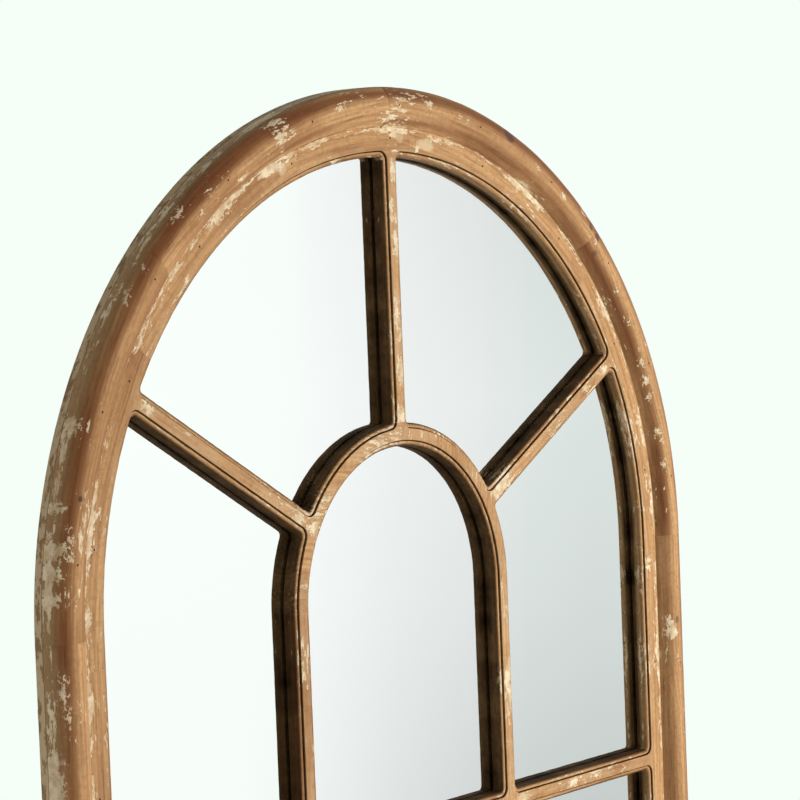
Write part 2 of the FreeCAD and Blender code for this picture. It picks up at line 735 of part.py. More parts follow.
# Horizontal bars, one to a bay.
BAYS = {
    "left": ("-Places.zone_radius", "Places.zone_radius - Places.host_outer"),
    "middle": ("-Places.host_inner", "2 * Places.host_inner"),
    "right": ("Places.host_outer", "Places.zone_radius - Places.host_outer"),
}
for row in range(BAR_ROWS):
    for bay, (base_x, length) in BAYS.items():
        name = f"bar_{bay}_{row + 1}"
        region = box(
            name + "_region",
            length,
            DEEP,
            "Places.bar_region",
            (base_x, SHALLOW_Y, f"Places.first_bar - {row} * Places.bar_pitch - Places.bar_region / 2"),
        )
        parted(name, bar_net, region, tenoned=True)

# Small arch in two halves that meet under the top spoke.
hub_disc = wedge("hub_disc", "Places.host_outer", "360", "Places.hub_height", "0")
for side, start in (("left", "90"), ("right", "0")):
    region = wedge(f"inner_arch_{side}_sector", "Places.host_outer", "90", "Places.hub_height", start)
    parted(f"inner_arch_{side}", bar_net, region)

# Spokes, from the small arch out to the sash.
for name, turn in (
    ("spoke_right", "-Sizes.spoke_angle"),
    ("spoke_top", "-90"),
    ("spoke_left", "Sizes.spoke_angle - 180"),
):
    arm = doc.addObject("Part::Box", name + "_arm")
    arm.setExpression("Length", "Places.half_width")
    arm.setExpression("Width", DEEP)
    arm.setExpression("Height", "Places.bar_region")
    arm.setExpression("Placement.Base.y", SHALLOW_Y)
    arm.setExpression("Placement.Base.z", "-Places.bar_region / 2")
    turned = doc.addObject("Part::Compound", name + "_arm_turned")
    turned.Links = [arm]
    set_place(turned, (None, None, "Places.hub_height"), turn)
    region = cut(name + "_region", turned, hub_disc)
    parted(name, bar_net, region, tenoned=True)


# ---------------------------------------------------------------- mirror and backboard
def sheet_body(label, radius, bottom, depth, thickness):
    """Flat sheet with a half round head, drawn on the plane of the front."""
    body = doc.addObject("PartDesign::Body", label + "_sheet")
    set_place(body, (None, f"Places.front_y + Places.{depth}", None))
    sketch = sketch_on(body, "XZ_Plane", label + "_outline")
    half, low, spring = place(radius), place(bottom), CENTRE
    sketch.addGeometry(Part.LineSegment(Vector(-half, low, 0), Vector(half, low, 0)))
    sketch.addGeometry(Part.LineSegment(Vector(half, low, 0), Vector(half, spring, 0)))
    circle = Part.Circle(Vector(0, spring, 0), Z_AXIS, half)
    sketch.addGeometry(Part.ArcOfCircle(circle, 0, math.pi))
    sketch.addGeometry(Part.LineSegment(Vector(-half, spring, 0), Vector(-half, low, 0)))
    for line in range(4):
        sketch.addConstraint(Sketcher.Constraint("Coincident", line, 2, (line + 1) % 4, 1))
    sketch.addConstraint(Sketcher.Constraint("Symmetric", 0, 1, 0, 2, -2))
    sketch.addConstraint(Sketcher.Constraint("Symmetric", 2, 1, 2, 2, -2))
    bound = (
        (Sketcher.Constraint("DistanceX", -1, 1, 0, 2, half), f"Places.{radius}"),
        (Sketcher.Constraint("DistanceY", -1, 1, 0, 2, low), f"Places.{bottom}"),
        (Sketcher.Constraint("DistanceX", -1, 1, 2, 1, half), f"Places.{radius}"),
        (Sketcher.Constraint("DistanceY", -1, 1, 2, 1, spring), "Places.arch_centre"),
        (Sketcher.Constraint("DistanceY", -1, 1, 2, 3, spring), "Places.arch_centre"),
    )
    for constraint, expression in bound:
        index = sketch.addConstraint(constraint)
        sketch.setExpression(f"Constraints[{index}]", expression)
    pad = body.newObject("PartDesign::Pad", label + "_thickness")
    pad.Profile = sketch
    pad.Reversed = True
    pad.setExpression("Length", f"Sizes.{thickness}")
    return body


keep(sheet_body("mirror_sheet", "glass_radius", "glass_bottom", "glass_front", "mirror_thickness"),
     "mirror_sheet")
board = sheet_body("backboard", "board_radius", "board_bottom", "frame_back", "backboard_thickness")
keep(cut("backboard_drilled", board, fixing_holes), "backboard")

# ---------------------------------------------------------------- nails and screws
bead_nails = [nail(x, z, 0) for x, z in bead_nail_spots]
keep(feature("bead_nails_group", Part.makeCompound(bead_nails)), "bead_nails")
sash_nails = [nail(x, z, FACE) for x, z in sash_nail_spots]
keep(feature("sash_nails_group", Part.makeCompound(sash_nails)), "sash_nails")
board_screws = [screw(x, z, board_seat, size("board_screw_length")) for x, z in board_screw_spots]
keep(feature("backboard_screws_group", Part.makeCompound(board_screws)), "backboard_screws")

# ---------------------------------------------------------------- hangers
# Steel strap folded round the straight side of a D-ring, two screws below. The ring swings freely.
PIVOT = Vector(place("strap_x"), FRONT + place("pivot_level"), place("pivot_height"))
EYE = place("eye_radius")
WIRE = size("ring_wire") / 2


def ring_path():
    """Centre line of the D: straight side on the pivot, round end hanging down."""
    half = size("ring_inner_width") / 2 + WIRE
    bend = size("ring_corner_radius")
    drop = size("ring_straight")
    slant = bend * math.sqrt(0.5)
    top_left = Vector(-half + bend, 0, 0)
    top_right = Vector(half - bend, 0, 0)
    right_corner = Vector(half - bend + slant, 0, -bend + slant)
    left_corner = Vector(-half + bend - slant, 0, -bend + slant)
    right_top = Vector(half, 0, -bend)
    left_top = Vector(-half, 0, -bend)
    right_end = Vector(half, 0, -drop)
    left_end = Vector(-half, 0, -drop)
    edges = [
        Part.LineSegment(top_left, top_right),
        Part.Arc(top_right, right_corner, right_top),
        Part.LineSegment(right_top, right_end),
        Part.Arc(right_end, Vector(0, 0, -drop - half), left_end),
        Part.LineSegment(left_end, left_top),
        Part.Arc(left_top, left_corner, top_left),
    ]
    return Part.Wire([edge.toShape() for edge in edges])


def ring_shape():
    path = ring_path()
    start = path.OrderedVertexes[0].Point
    section = Part.Wire(Part.makeCircle(WIRE, start, X_AXIS))
    return path.makePipeShell([section], True, False)


def strap_shape():
    """Plate on the back of the frame, with the eye on its upper end, about the pivot's own origin."""
    width = size("strap_width")
    plate = Part.makeBox(
        width,
        size("strap_thickness"),
        size("strap_length"),
        Vector(-width / 2, -EYE, -size("strap_length")),
    )
    rounded = [
        edge for edge in plate.Edges
        if edge.BoundBox.YLength > 0.5 * size("strap_thickness")
        and edge.BoundBox.ZMax < -0.5 * size("strap_length")
    ]
    plate = plate.makeFillet(width / 3, rounded)
    eye = Part.makeCylinder(EYE, width, Vector(-width / 2, 0, 0), X_AXIS)
    bore = Part.makeCylinder(WIRE + size("ring_play"), width + 2, Vector(-width / 2 - 1, 0, 0), X_AXIS)
    strap = plate.fuse(eye).cut(bore)
    for drop in ("strap_screw_first", "strap_screw_second"):
        hole_radius = size("screw_diameter") / 2 + size("nail_clearance")
        strap = strap.cut(Part.makeCylinder(
            hole_radius, 4 * EYE, Vector(0, -2 * EYE, -size(drop)), Y_AXIS))
    return strap


for side, sign in (("left", -1), ("right", 1)):
    spot = Placement(Vector(sign * PIVOT.x, PIVOT.y, PIVOT.z), Rotation())
    strap = keep(feature(f"hanger_strap_{side}_plate", strap_shape()), f"hanger_strap_{side}")
    strap.Placement = spot
    ring = keep(feature(f"hanger_ring_{side}_wire", ring_shape()), f"hanger_ring_{side}")
    ring.Placement = spot
    strap_screws = [screw(x, z, strap_seat, size("strap_screw_length")) for x, z in strap_spots[side]]
    keep(feature(f"hanger_screws_{side}_group", Part.makeCompound(strap_screws)), f"hanger_screws_{side}")

# ---------------------------------------------------------------- bumpers
BUMPER_RADIUS = place("bumper_radius")
upper_x, upper_z = on_arch(BUMPER_RADIUS, size("bumper_angle"))
BUMPERS = {
    "bumper_lower_left": (-BUMPER_RADIUS, size("bumper_height")),
    "bumper_lower_right": (BUMPER_RADIUS, size("bumper_height")),
    "bumper_upper_left": (-upper_x, upper_z),
    "bumper_upper_right": (upper_x, upper_z),
}
for name, (x, z) in BUMPERS.items():
    body = doc.addObject("PartDesign::Body", name + "_body")
    body.Placement = Placement(Vector(x, 0, z), Rotation())
    body.setExpression("Placement.Base.y", "Places.front_y + Places.frame_back")
    disc = sketch_on(body, "XZ_Plane", name + "_disc")
    disc.addGeometry(Part.Circle(Vector(), Z_AXIS, size("bumper_diameter") / 2))
    disc.addConstraint(Sketcher.Constraint("Coincident", 0, 3, -1, 1))
    index = disc.addConstraint(Sketcher.Constraint("Diameter", 0, size("bumper_diameter")))
    disc.setExpression(f"Constraints[{index}]", "Sizes.bumper_diameter")
    pad = body.newObject("PartDesign::Pad", name + "_thickness")
    pad.Profile = disc
    pad.Reversed = True
    pad.setExpression("Length", "Sizes.bumper_thickness")
    doc.recompute()
    rim = [
        f"Edge{number}" for number, edge in enumerate(pad.Shape.Edges, start=1)
        if abs(edge.BoundBox.YMin - pad.Shape.BoundBox.YMax) < 0.01
    ]
    chamfer = body.newObject("PartDesign::Chamfer", name + "_edge")
    chamfer.Base = (pad, rim)
    chamfer.setExpression("Size", "Sizes.bumper_edge")
    keep(body, name)

# ---------------------------------------------------------------- checks and files
doc.recompute()
for item in doc.Objects:
    if "Invalid" in item.State or "Error" in item.State:
        raise RuntimeError(f"{item.Name} failed: {item.State}")
os.makedirs("parts", exist_ok=True)
for piece in subparts:
    shape = piece.Shape
    if shape.isNull() or not shape.isValid() or not shape.Solids:
        raise RuntimeError(f"{piece.Label} has no valid solid")
for piece in subparts:
    piece.Shape.exportStep(f"parts/{piece.Label}.step")
    bounds = piece.Shape.BoundBox
    print(f"{piece.Label}: {len(piece.Shape.Solids)} solids, {piece.Shape.Volume / 1000:.1f} cm3,"
          f" x {bounds.XMin:.1f} {bounds.XMax:.1f}, y {bounds.YMin:.1f} {bounds.YMax:.1f},"
          f" z {bounds.ZMin:.1f} {bounds.ZMax:.1f}")
print(len(subparts), "pieces")
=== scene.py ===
import json
import math

import bmesh
import bpy
from mathutils import Matrix, Vector, noise
from mathutils.bvhtree import BVHTree
from mathutils.geometry import delaunay_2d_cdt

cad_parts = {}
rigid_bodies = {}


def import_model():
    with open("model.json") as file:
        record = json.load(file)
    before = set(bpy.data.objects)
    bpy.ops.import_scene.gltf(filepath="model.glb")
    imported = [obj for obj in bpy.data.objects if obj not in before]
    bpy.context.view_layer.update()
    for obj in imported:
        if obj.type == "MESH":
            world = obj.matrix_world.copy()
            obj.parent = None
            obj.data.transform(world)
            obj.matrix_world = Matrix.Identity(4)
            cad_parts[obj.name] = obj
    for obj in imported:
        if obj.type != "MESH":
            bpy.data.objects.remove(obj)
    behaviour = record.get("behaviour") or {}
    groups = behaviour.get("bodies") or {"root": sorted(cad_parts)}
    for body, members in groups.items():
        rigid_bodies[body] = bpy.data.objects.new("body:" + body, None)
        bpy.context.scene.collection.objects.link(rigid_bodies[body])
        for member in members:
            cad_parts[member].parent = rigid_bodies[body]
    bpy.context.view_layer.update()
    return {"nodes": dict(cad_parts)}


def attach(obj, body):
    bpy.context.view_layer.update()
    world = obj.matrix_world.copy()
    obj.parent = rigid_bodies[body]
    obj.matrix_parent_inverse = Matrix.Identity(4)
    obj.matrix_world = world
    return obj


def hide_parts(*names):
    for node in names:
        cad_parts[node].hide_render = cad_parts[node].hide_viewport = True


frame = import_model()

# ---------------------------------------------------------------- camera
# It stands low on the left, some two metres from the arch, and looks across the mirror's face.
# The long lens keeps the stiles nearly parallel.
CAMERA_PLACE = (-1.89907, -1.52454, 1.62613)
yaw, pitch, roll = math.radians(-51.3516), math.radians(2.5963), math.radians(-2.2588)
level_right = Vector((math.cos(yaw), math.sin(yaw), 0))
backwards = Vector((
    math.sin(yaw) * math.cos(pitch),
    -math.cos(yaw) * math.cos(pitch),
    math.sin(pitch),
))
level_up = backwards.cross(level_right)
right = math.cos(roll) * level_right + math.sin(roll) * level_up
upwards = math.cos(roll) * level_up - math.sin(roll) * level_right
camera_data = bpy.data.cameras.new("camera")
camera_data.sensor_width = 36
camera_data.lens = 120.18
camera_data.clip_end = 60
camera = bpy.data.objects.new("camera", camera_data)
bpy.context.scene.collection.objects.link(camera)
camera.matrix_world = Matrix.Translation(CAMERA_PLACE) @ Matrix((
    right, upwards, backwards)).transposed().to_4x4()
bpy.context.scene.camera = camera
bpy.context.scene.view_settings.view_transform = "Standard"

# ---------------------------------------------------------------- bead moulding
# A half-round strip of reclaimed pine runs round the outside, mitred at the two bottom corners and
# nailed through to the back frame. The arch is sawn from four boards, glued end to end. Old cream
# paint fills the groove along its foot. Its ridge, and the slopes that turn from the light, are
# darkened with painted shade, the ridge with some dirt and the slopes with some stain.
MM = 0.001
HALF_WIDTH = 450.0
ARCH_CENTRE = 1350.0
CREST_Y = -18.6
MOULDING_INNER = 412.05
BEAD_FOOT = 413.4
BEAD_AXIS = 433.0
BEAD_RADIUS = 21.3
BEAD_BACK = 22.2
BEAD_MIDDLE = 431.0
EASE = 0.12
PAINTED_UP = 12.3


def rgb(red, green, blue):
    """A colour as a screen shows it, turned into linear light."""
    values = [channel / 255 for channel in (red, green, blue)]
    linear = [v / 12.92 if v <= 0.04045 else ((v + 0.055) / 1.055) ** 2.4 for v in values]
    return (*linear, 1.0)


def add_node(tree, kind, inputs=None, **settings):
    """A shader node, with its inputs linked where a socket is given and set where a value is."""
    item = tree.nodes.new(kind)
    for key, value in settings.items():
        setattr(item, key, value)
    for key, value in (inputs or {}).items():
        if isinstance(value, bpy.types.NodeSocket):
            tree.links.new(value, item.inputs[key])
        else:
            item.inputs[key].default_value = value
    return item


def sums(tree, operation, *values):
    item = add_node(tree, "ShaderNodeMath", dict(enumerate(values)), operation=operation)
    return item.outputs[0]


def mixed(tree, factor, first, second, blend="MIX"):
    item = add_node(tree, "ShaderNodeMix", {0: factor, 6: first, 7: second}, data_type="RGBA",
                    blend_type=blend)
    return item.outputs[2]


def ramp(tree, factor, *stops):
    """Colour ramp. Each stop is a place from 0 to 1 and a grey value or a colour."""
    item = add_node(tree, "ShaderNodeValToRGB", {0: factor})
    elements = item.color_ramp.elements
    while len(elements) < len(stops):
        elements.new(0.5)
    for element, (position, value) in zip(elements, stops):
        element.position = position
        element.color = (value, value, value, 1) if isinstance(value, (int, float)) else value
    return item.outputs[0]


def cloud(tree, vector, scale, detail=2.0, roughness=0.5):
    item = add_node(tree, "ShaderNodeTexNoise", {
        "Vector": vector, "Scale": scale, "Detail": detail, "Roughness": roughness})
    return item.outputs[0]


def stretched(tree, vector, scale, shift=(0, 0, 0), turn=0.0):
    item = add_node(tree, "ShaderNodeMapping", {
        "Vector": vector, "Scale": scale, "Location": shift, "Rotation": (0, turn, 0)})
    return item.outputs[0]


def steep(tree, value, threshold, width):
    """0 below a threshold and 1 above it, with a short slope between."""
    item = add_node(tree, "ShaderNodeMapRange", {
        "Value": value, "From Min": threshold, "From Max": threshold + width})
    return item.outputs[0]


TRAITS = ("wear", "paint", "grime", "hollow", "side")


def nearness(tree, here, spot, across, along):
    """1 in the middle of an ellipse on the face, falling to 0 at its edge and beyond.

    `spot` is its x and z in millimetres and how far its long side leans to the left, in degrees.
    """
    x, z, lean = spot
    local = add_node(tree, "ShaderNodeMapping", {
        "Vector": here, "Location": (x * MM, 0, z * MM), "Rotation": (0, -math.radians(lean), 0),
        "Scale": (across * MM, 1, along * MM)}, vector_type="TEXTURE")
    reach = add_node(tree, "ShaderNodeVectorMath", {0: local.outputs[0]}, operation="LENGTH")
    return sums(tree, "MAXIMUM", sums(tree, "SUBTRACT", 1.0, reach.outputs["Value"]), 0.0)


def new_material(name):
    material = bpy.data.materials.new(name)
    material.use_nodes = True
    tree = material.node_tree
    tree.nodes.clear()
    output = tree.nodes.new("ShaderNodeOutputMaterial")
    return material, tree, output


PINE = dict(
    light=rgb(212, 167, 117),
    late=rgb(180, 132, 82),
    stain=rgb(134, 84, 44),
    grime=rgb(32, 19, 9),
    rubbed=rgb(216, 182, 142),
    deep_stain_and_shade=rgb(104, 50, 18),
    side=rgb(156, 126, 88),
    paint=rgb(240, 222, 190),
    chalk=rgb(212, 184, 144),
)
# Noise frays the outline of a chip. It pulls a point by up to this many metres, half as far on
# average, so the chip's spot is shifted by that half, in millimetres, to stay where it is.
FRAY = 0.024
FRAY_SHIFT = 12


def aged_pine(name, lean, seed, ring_scale=75.0, stained=0.5, marks=(), chips=(), bend=None):
    """Stained pine. Its grain runs along a member that leans `lean` degrees to the right.

    The piece's own attributes, in the order of TRAITS, say where it is rubbed, where paint is
    left, where it is dirty or darkened as painted shade (walls, grooves, the bead's ridge), where
    its slopes are stained or darkened as painted shade, and where its outer side is bare. A mark
    is a knot or a patch of wash: its spot, half its width and length, colour and strength. A chip
    is where paint is left: its spot, half its width and length. A bend is the height of an arch's
    centre and its radius: the board was picked so that its grain follows most of the curve.
    """
    material, tree, output = new_material(name)
    here = tree.nodes.new("ShaderNodeTexCoord").outputs["Object"]
    turn = -math.radians(lean)
    centre, radius = bend or (0.0, 0.0)
    moved = Matrix.Rotation(turn, 3, "Y") @ Vector((0, 0, -centre * MM))
    grain = stretched(tree, here, (1, 1, 1), moved, turn)
    if bend:
        parts = add_node(tree, "ShaderNodeSeparateXYZ", {0: grain})
        sagitta = sums(tree, "MULTIPLY", parts.outputs["Z"], parts.outputs["Z"])
        across = sums(tree, "MULTIPLY_ADD", sagitta, 0.8 / (2 * radius * MM), parts.outputs["X"])
        grain = add_node(tree, "ShaderNodeCombineXYZ", {
            "X": across, "Y": parts.outputs["Y"], "Z": parts.outputs["Z"]}).outputs[0]
    shift = (0.37 * seed, 0.23 * seed, 0.61 * seed)
    grain = stretched(tree, grain, (1, 1, 1), shift)
    traits = {}
    for trait in TRAITS:
        traits[trait] = add_node(tree, "ShaderNodeAttribute", attribute_name=trait).outputs["Fac"]

    # Growth rings are cut lengthwise, which gives long flames.
    warp = add_node(tree, "ShaderNodeTexNoise", {
        "Vector": stretched(tree, grain, (9, 9, 2.2)), "Scale": 1.0, "Detail": 2.0,
    }).outputs["Color"]
    warped = add_node(tree, "ShaderNodeVectorMath", {
        0: warp, 1: (0.055, 0.055, 0.0),
        2: stretched(tree, grain, (1, 1, 0.04), (0.052, 0.031, 0)),
    }, operation="MULTIPLY_ADD").outputs[0]
    rings = add_node(tree, "ShaderNodeTexWave", {
        "Vector": warped, "Scale": ring_scale, "Distortion": 0.7, "Detail": 2.0,
        "Detail Scale": 0.7}, wave_type="RINGS", rings_direction="Z").outputs["Fac"]
    late = ramp(tree, rings, (0.0, 0.0), (0.5, 0.15), (0.86, 1.0), (1.0, 0.5))
    fibre = cloud(tree, stretched(tree, grain, (230, 230, 6)), 1.0, 3.0, 0.6)
    pores = steep(tree, cloud(tree, stretched(tree, grain, (520, 520, 24)), 1.0, 1.0), 0.65, 0.05)
    blotch = cloud(tree, stretched(tree, grain, (14, 14, 4.2)), 1.0, 5.0, 0.62)
    patches = cloud(tree, here, 34.0, 4.0, 0.6)

    wood = mixed(tree, sums(tree, "MULTIPLY", late, 0.5), PINE["light"], PINE["late"])
    wood = mixed(tree, ramp(tree, fibre, (0.38, 0.4), (0.6, 0.0)), wood, PINE["stain"])
    # Stain lies in broad soft patches. The bead's slopes also get a darker reddish brown: painted
    # shade where a slope turns away from the light, mixed with real stain.
    hollow = sums(tree, "MULTIPLY_ADD", traits["hollow"], 0.30, blotch)
    stain = sums(tree, "MULTIPLY", ramp(tree, hollow, (0.46, 0.0), (0.68, 1.0)), stained)
    wood = mixed(tree, stain, wood, PINE["stain"])
    deep_stain_and_shade = sums(tree, "MULTIPLY", traits["hollow"], ramp(tree, blotch, (0.44, 0.42), (0.53, 0.85)))
    wood = mixed(tree, deep_stain_and_shade, wood, PINE["deep_stain_and_shade"])
    wood = mixed(tree, sums(tree, "MULTIPLY", pores, 0.3), wood, PINE["grime"])
    wood = mixed(tree, sums(tree, "MULTIPLY", traits["side"], 0.8), wood, PINE["side"])
    speckle = ramp(tree, cloud(tree, here, 230.0, 3.0, 0.7), (0.38, 0.28), (0.52, 0.0))
    wood = mixed(tree, speckle, wood, PINE["stain"])
    for spot, across, along, colour, strength in marks:
        uneven = sums(tree, "MULTIPLY_ADD", patches, 0.9, nearness(tree, here, spot, across, along))
        inside_mark = steep(tree, uneven, 0.78, 0.22)
        wood = mixed(tree, sums(tree, "MULTIPLY", inside_mark, strength), wood, colour)
    rubbed = sums(tree, "MULTIPLY", traits["wear"], ramp(tree, patches, (0.38, 0.0), (0.58, 0.8)))
    wood = mixed(tree, rubbed, wood, PINE["rubbed"])
    # Dirt, and painted shade in the walls, grooves and along the bead's ridge, darken the wood.
    dirt_and_shade = sums(tree, "MULTIPLY", traits["grime"], ramp(tree, patches, (0.3, 1.0), (0.7, 0.8)))
    wood = mixed(tree, dirt_and_shade, wood, PINE["grime"])

    # What is left of the old paint: small ragged flakes in loose patches.
    ragged = cloud(tree, stretched(tree, grain, (230, 230, 75)), 1.0, 8.0, 0.7)
    where = cloud(tree, here, 15.0, 3.0, 0.55)
    likely = sums(tree, "MULTIPLY_ADD", traits["paint"], 0.17, -1.08)
    likely = sums(tree, "MULTIPLY_ADD", where, 0.75, likely)
    fray = add_node(tree, "ShaderNodeTexNoise", {
        "Vector": here, "Scale": 260.0, "Detail": 6.0, "Roughness": 0.7})
    frayed = add_node(tree, "ShaderNodeVectorMath", {
        0: fray.outputs["Color"], 1: (FRAY, FRAY, FRAY), 2: here}, operation="MULTIPLY_ADD")
    for (x, z, spot_lean), across, along in chips:
        spot = (x + FRAY_SHIFT, z + FRAY_SHIFT, spot_lean)
        likely = sums(tree, "MULTIPLY_ADD", nearness(tree, frayed.outputs[0], spot, across, along),
                      0.5, likely)
    flake = steep(tree, sums(tree, "ADD", ragged, likely), 0.0, 0.012)
    flake = sums(tree, "MULTIPLY", flake, sums(tree, "MULTIPLY_ADD", traits["grime"], -0.75, 1.0))
    chalk = mixed(tree, ramp(tree, cloud(tree, here, 120.0, 3.0), (0.4, 0.0), (0.62, 1.0)),
                  PINE["paint"], PINE["chalk"])
    colour = mixed(tree, flake, wood, chalk)

    height = sums(tree, "MULTIPLY_ADD", late, -0.2, sums(tree, "MULTIPLY", fibre, 0.35))
    height = sums(tree, "MULTIPLY_ADD", flake, 0.5, height)
    height = sums(tree, "MULTIPLY_ADD", cloud(tree, here, 160.0, 4.0, 0.6), 0.5, height)
    bump = add_node(tree, "ShaderNodeBump", {"Height": height, "Strength": 0.5, "Distance": 0.0008})
    roughness = sums(tree, "MULTIPLY_ADD", fibre, 0.25, 0.5)
    shader = add_node(tree, "ShaderNodeBsdfPrincipled", {
        "Base Color": colour, "Roughness": roughness, "Normal": bump.outputs[0],
        "Specular IOR Level": sums(tree, "MULTIPLY_ADD", traits["grime"], -0.28, 0.3)})
    tree.links.new(shader.outputs[0], output.inputs[0])
    return material


def bead_profile(inner_stain_and_shade):
    """Points of the section: distance from the arch centre, depth and what time did to it there,
    with painted shade on the slopes and along the ridge.

    A trait named loss says how far the wood is worn back from its first shape.
    """
    points = [
        (MOULDING_INNER, BEAD_BACK, {}),
        (MOULDING_INNER, 18.0, {}),
        (MOULDING_INNER, PAINTED_UP, dict(paint=1.3)),
        (BEAD_FOOT, PAINTED_UP, dict(paint=1.3)),
    ]
    for step in range(27):
        turn = math.radians(-66.5 + step * 4.56)
        radius = BEAD_RADIUS - (0.35 if step in (0, 26) else 0.06 if step in (1, 25) else 0.0)
        point = (BEAD_AXIS + radius * math.sin(turn), BEAD_RADIUS - radius * math.cos(turn))
        foot = max(0.0, 1 - step / 4.0)
        ridge = max(0.0, (step - 24) / 2)
        # Painted shade, with some stain, on the outer slope and on the inner slope where asked.
        hollow = max(0.0, 1 - abs(step - 21) / 5.5) + inner_stain_and_shade * max(0.0, 1 - abs(step - 6) / 6)
        # The ridge is darkened as painted shade, with some dirt.
        traits = dict(paint=0.65 * foot - 0.2 * ridge + 0.3, wear=0.3 * foot + 0.2 * ridge,
                      grime=0.3 * ridge, hollow=hollow, loss=0.35 + 0.7 * ridge)
        points.append((*point, traits))
    points += [
        (449.9, 9.0, dict(side=0.7, wear=0.2, paint=0.2, grime=0.25, loss=0.8)),
        (HALF_WIDTH, 9.8, dict(side=1.0, paint=0.5, grime=0.1, loss=0.5)),
        (HALF_WIDTH, 13.0, dict(side=1.0, paint=1.25, loss=0.2)),
        (HALF_WIDTH, 17.0, dict(side=1.0, paint=1.1, loss=0.2)),
        (HALF_WIDTH, 21.4, dict(side=1.0, paint=0.8)),
        (HALF_WIDTH - 0.5, BEAD_BACK, dict(side=1.0, grime=0.5)),
        (BEAD_MIDDLE, BEAD_BACK, {}),
    ]
    return points


def rough(spot, scale):
    """Slow unevenness from 0 to 1 at a place in millimetres."""
    return 0.5 + 0.5 * noise.noise(Vector(spot) * scale)


def finish_mesh(name, vertices, faces, traits, material, smooth_angle, merge=False):
    """A mesh object in metres from millimetre points, with wear, dirt and painted shade on them."""
    mesh = bpy.data.meshes.new(name)
    mesh.from_pydata([(x * MM, y * MM, z * MM) for x, y, z in vertices], [], faces)
    for trait in TRAITS:
        layer = mesh.attributes.new(trait, "FLOAT", "POINT")
        layer.data.foreach_set("value", [item.get(trait, 0.0) for item in traits])
    shell = bmesh.new()
    shell.from_mesh(mesh)
    if merge:
        bmesh.ops.remove_doubles(shell, verts=shell.verts, dist=0.00002)
    bmesh.ops.recalc_face_normals(shell, faces=shell.faces)
    shell.to_mesh(mesh)
    shell.free()
    mesh.shade_smooth()
    mesh.set_sharp_from_angle(angle=math.radians(smooth_angle))
    mesh.materials.append(material)
    piece = bpy.data.objects.new(name, mesh)
    bpy.context.scene.collection.objects.link(piece)
    return piece


def swept_bead(name, spot, stations, material, inner_stain_and_shade=0.0, painted=1.0):
    """The section carried along a member. `spot` gives x and z for a distance out and a station.

    The argument after the material darkens the inner slope with stain and painted shade, and
    `painted` says how much of its paint is left.
    """
    profile = [(out, depth, dict(trait, paint=painted * trait.get("paint", 0.0)))
               for out, depth, trait in bead_profile(inner_stain_and_shade)]
    vertices, traits, faces = [], [], []
    last = len(stations) - 1
    for index, station in enumerate(stations):
        for out, depth, trait in profile:
            if index in (0, last):
                out += EASE if out < BEAD_MIDDLE else -EASE
                depth += EASE if depth < 14 else -EASE if depth > 20 else 0
            x, z = spot(out, station)
            loss = trait.get("loss", 0.0)
            if loss:
                unevenness = rough((x, depth * 2, z), 0.021) * 0.7
                dents = max(0.0, rough((x + 400, depth * 2, z), 0.055) - 0.66) * 2.4
                worn = loss * (unevenness + dents)
                out_way, depth_way = out - BEAD_AXIS, depth - BEAD_RADIUS
                reach = math.hypot(out_way, depth_way)
                x, z = spot(out - worn * out_way / reach, station)
                depth -= worn * depth_way / reach
            vertices.append((x, CREST_Y + depth, z))
            traits.append(trait)
    width = len(profile)
    for index in range(last):
        for point in range(width):
            following = (point + 1) % width
            low, high = index * width, (index + 1) * width
            faces.append((low + point, low + following, high + following, high + point))
    faces.append(tuple(range(width)))
    faces.append(tuple(range(last * width, (last + 1) * width)))
    piece = finish_mesh(name, vertices, faces, traits, material, 50)
    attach(piece, "frame")
    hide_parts(name.replace("worn_", ""))


STILE_MARKS = dict(left=(), right=[((431, 1262, 0), 5, 7, rgb(118, 88, 62), 0.8)])
STILE_CHIPS = dict(
    left=[((-445, 1323, 0), 3, 10), ((-446, 1309, 0), 3, 9), ((-443, 1297, 0), 2, 8),
          ((-446, 1180, 0), 5, 20), ((-450, 1230, 0), 5, 40), ((-448, 860, 0), 4, 30),
          ((-430, 640, 0), 5, 26)],
    right=[((424, 1250, 0), 9, 9), ((421, 1262, 0), 5, 7), ((447, 1120, 0), 2, 8),
           ((430, 760, 0), 5, 24)],
)
# The right-hand stile is cleaner: seed, stain, stain and painted shade on the inner slope, and
# paint of each. The right inner slope faces away from the light and gets painted shade. The
# left stile's heavier stain is partly painted shade on its outer slope, turned from the light.
STILE_BOARDS = dict(left=(3.1, 0.6, 0.0, 1.0), right=(5.3, 0.25, 0.5, 0.2))
for side, sign in (("left", -1), ("right", 1)):
    def stile_spot(out, share):
        foot = HALF_WIDTH - out
        return sign * out, foot + (ARCH_CENTRE - foot) * share

    seed, stained, inner_stain_and_shade, painted = STILE_BOARDS[side]
    shares = [0, 0.0004] + [number / 260 for number in range(1, 260)] + [0.9996, 1]
    pine = aged_pine(f"pine_bead_stile_{side}", 0, seed, stained=stained,
                     marks=STILE_MARKS[side], chips=STILE_CHIPS[side])
    swept_bead(f"worn_bead_stile_{side}", stile_spot, shares, pine, inner_stain_and_shade, painted)


def bottom_spot(out, share):
    return out * (2 * share - 1), HALF_WIDTH - out


shares = [0, 0.0005] + [number / 180 for number in range(1, 180)] + [0.9995, 1]
swept_bead("worn_bead_bottom", bottom_spot, shares, aged_pine("pine_bead_bottom", 90, 7.7))


def arch_spot(out, angle):
    turn = math.radians(angle)
    return out * math.cos(turn), ARCH_CENTRE + out * math.sin(turn)


BEAD_JOINTS = (0, 46, 92, 137, 180)
# Stain of each arch board; on the top two it is also painted shade on the up-facing outer slope.
BEAD_STAIN_AND_SHADE = (0.5, 0.75, 0.9, 0.55)
KNOT, WASH = rgb(78, 48, 50), rgb(226, 202, 164)


def on_arch(reach, angle):
    """A spot on an arch board, with its long side along the arch."""
    return (*arch_spot(reach, angle), angle)


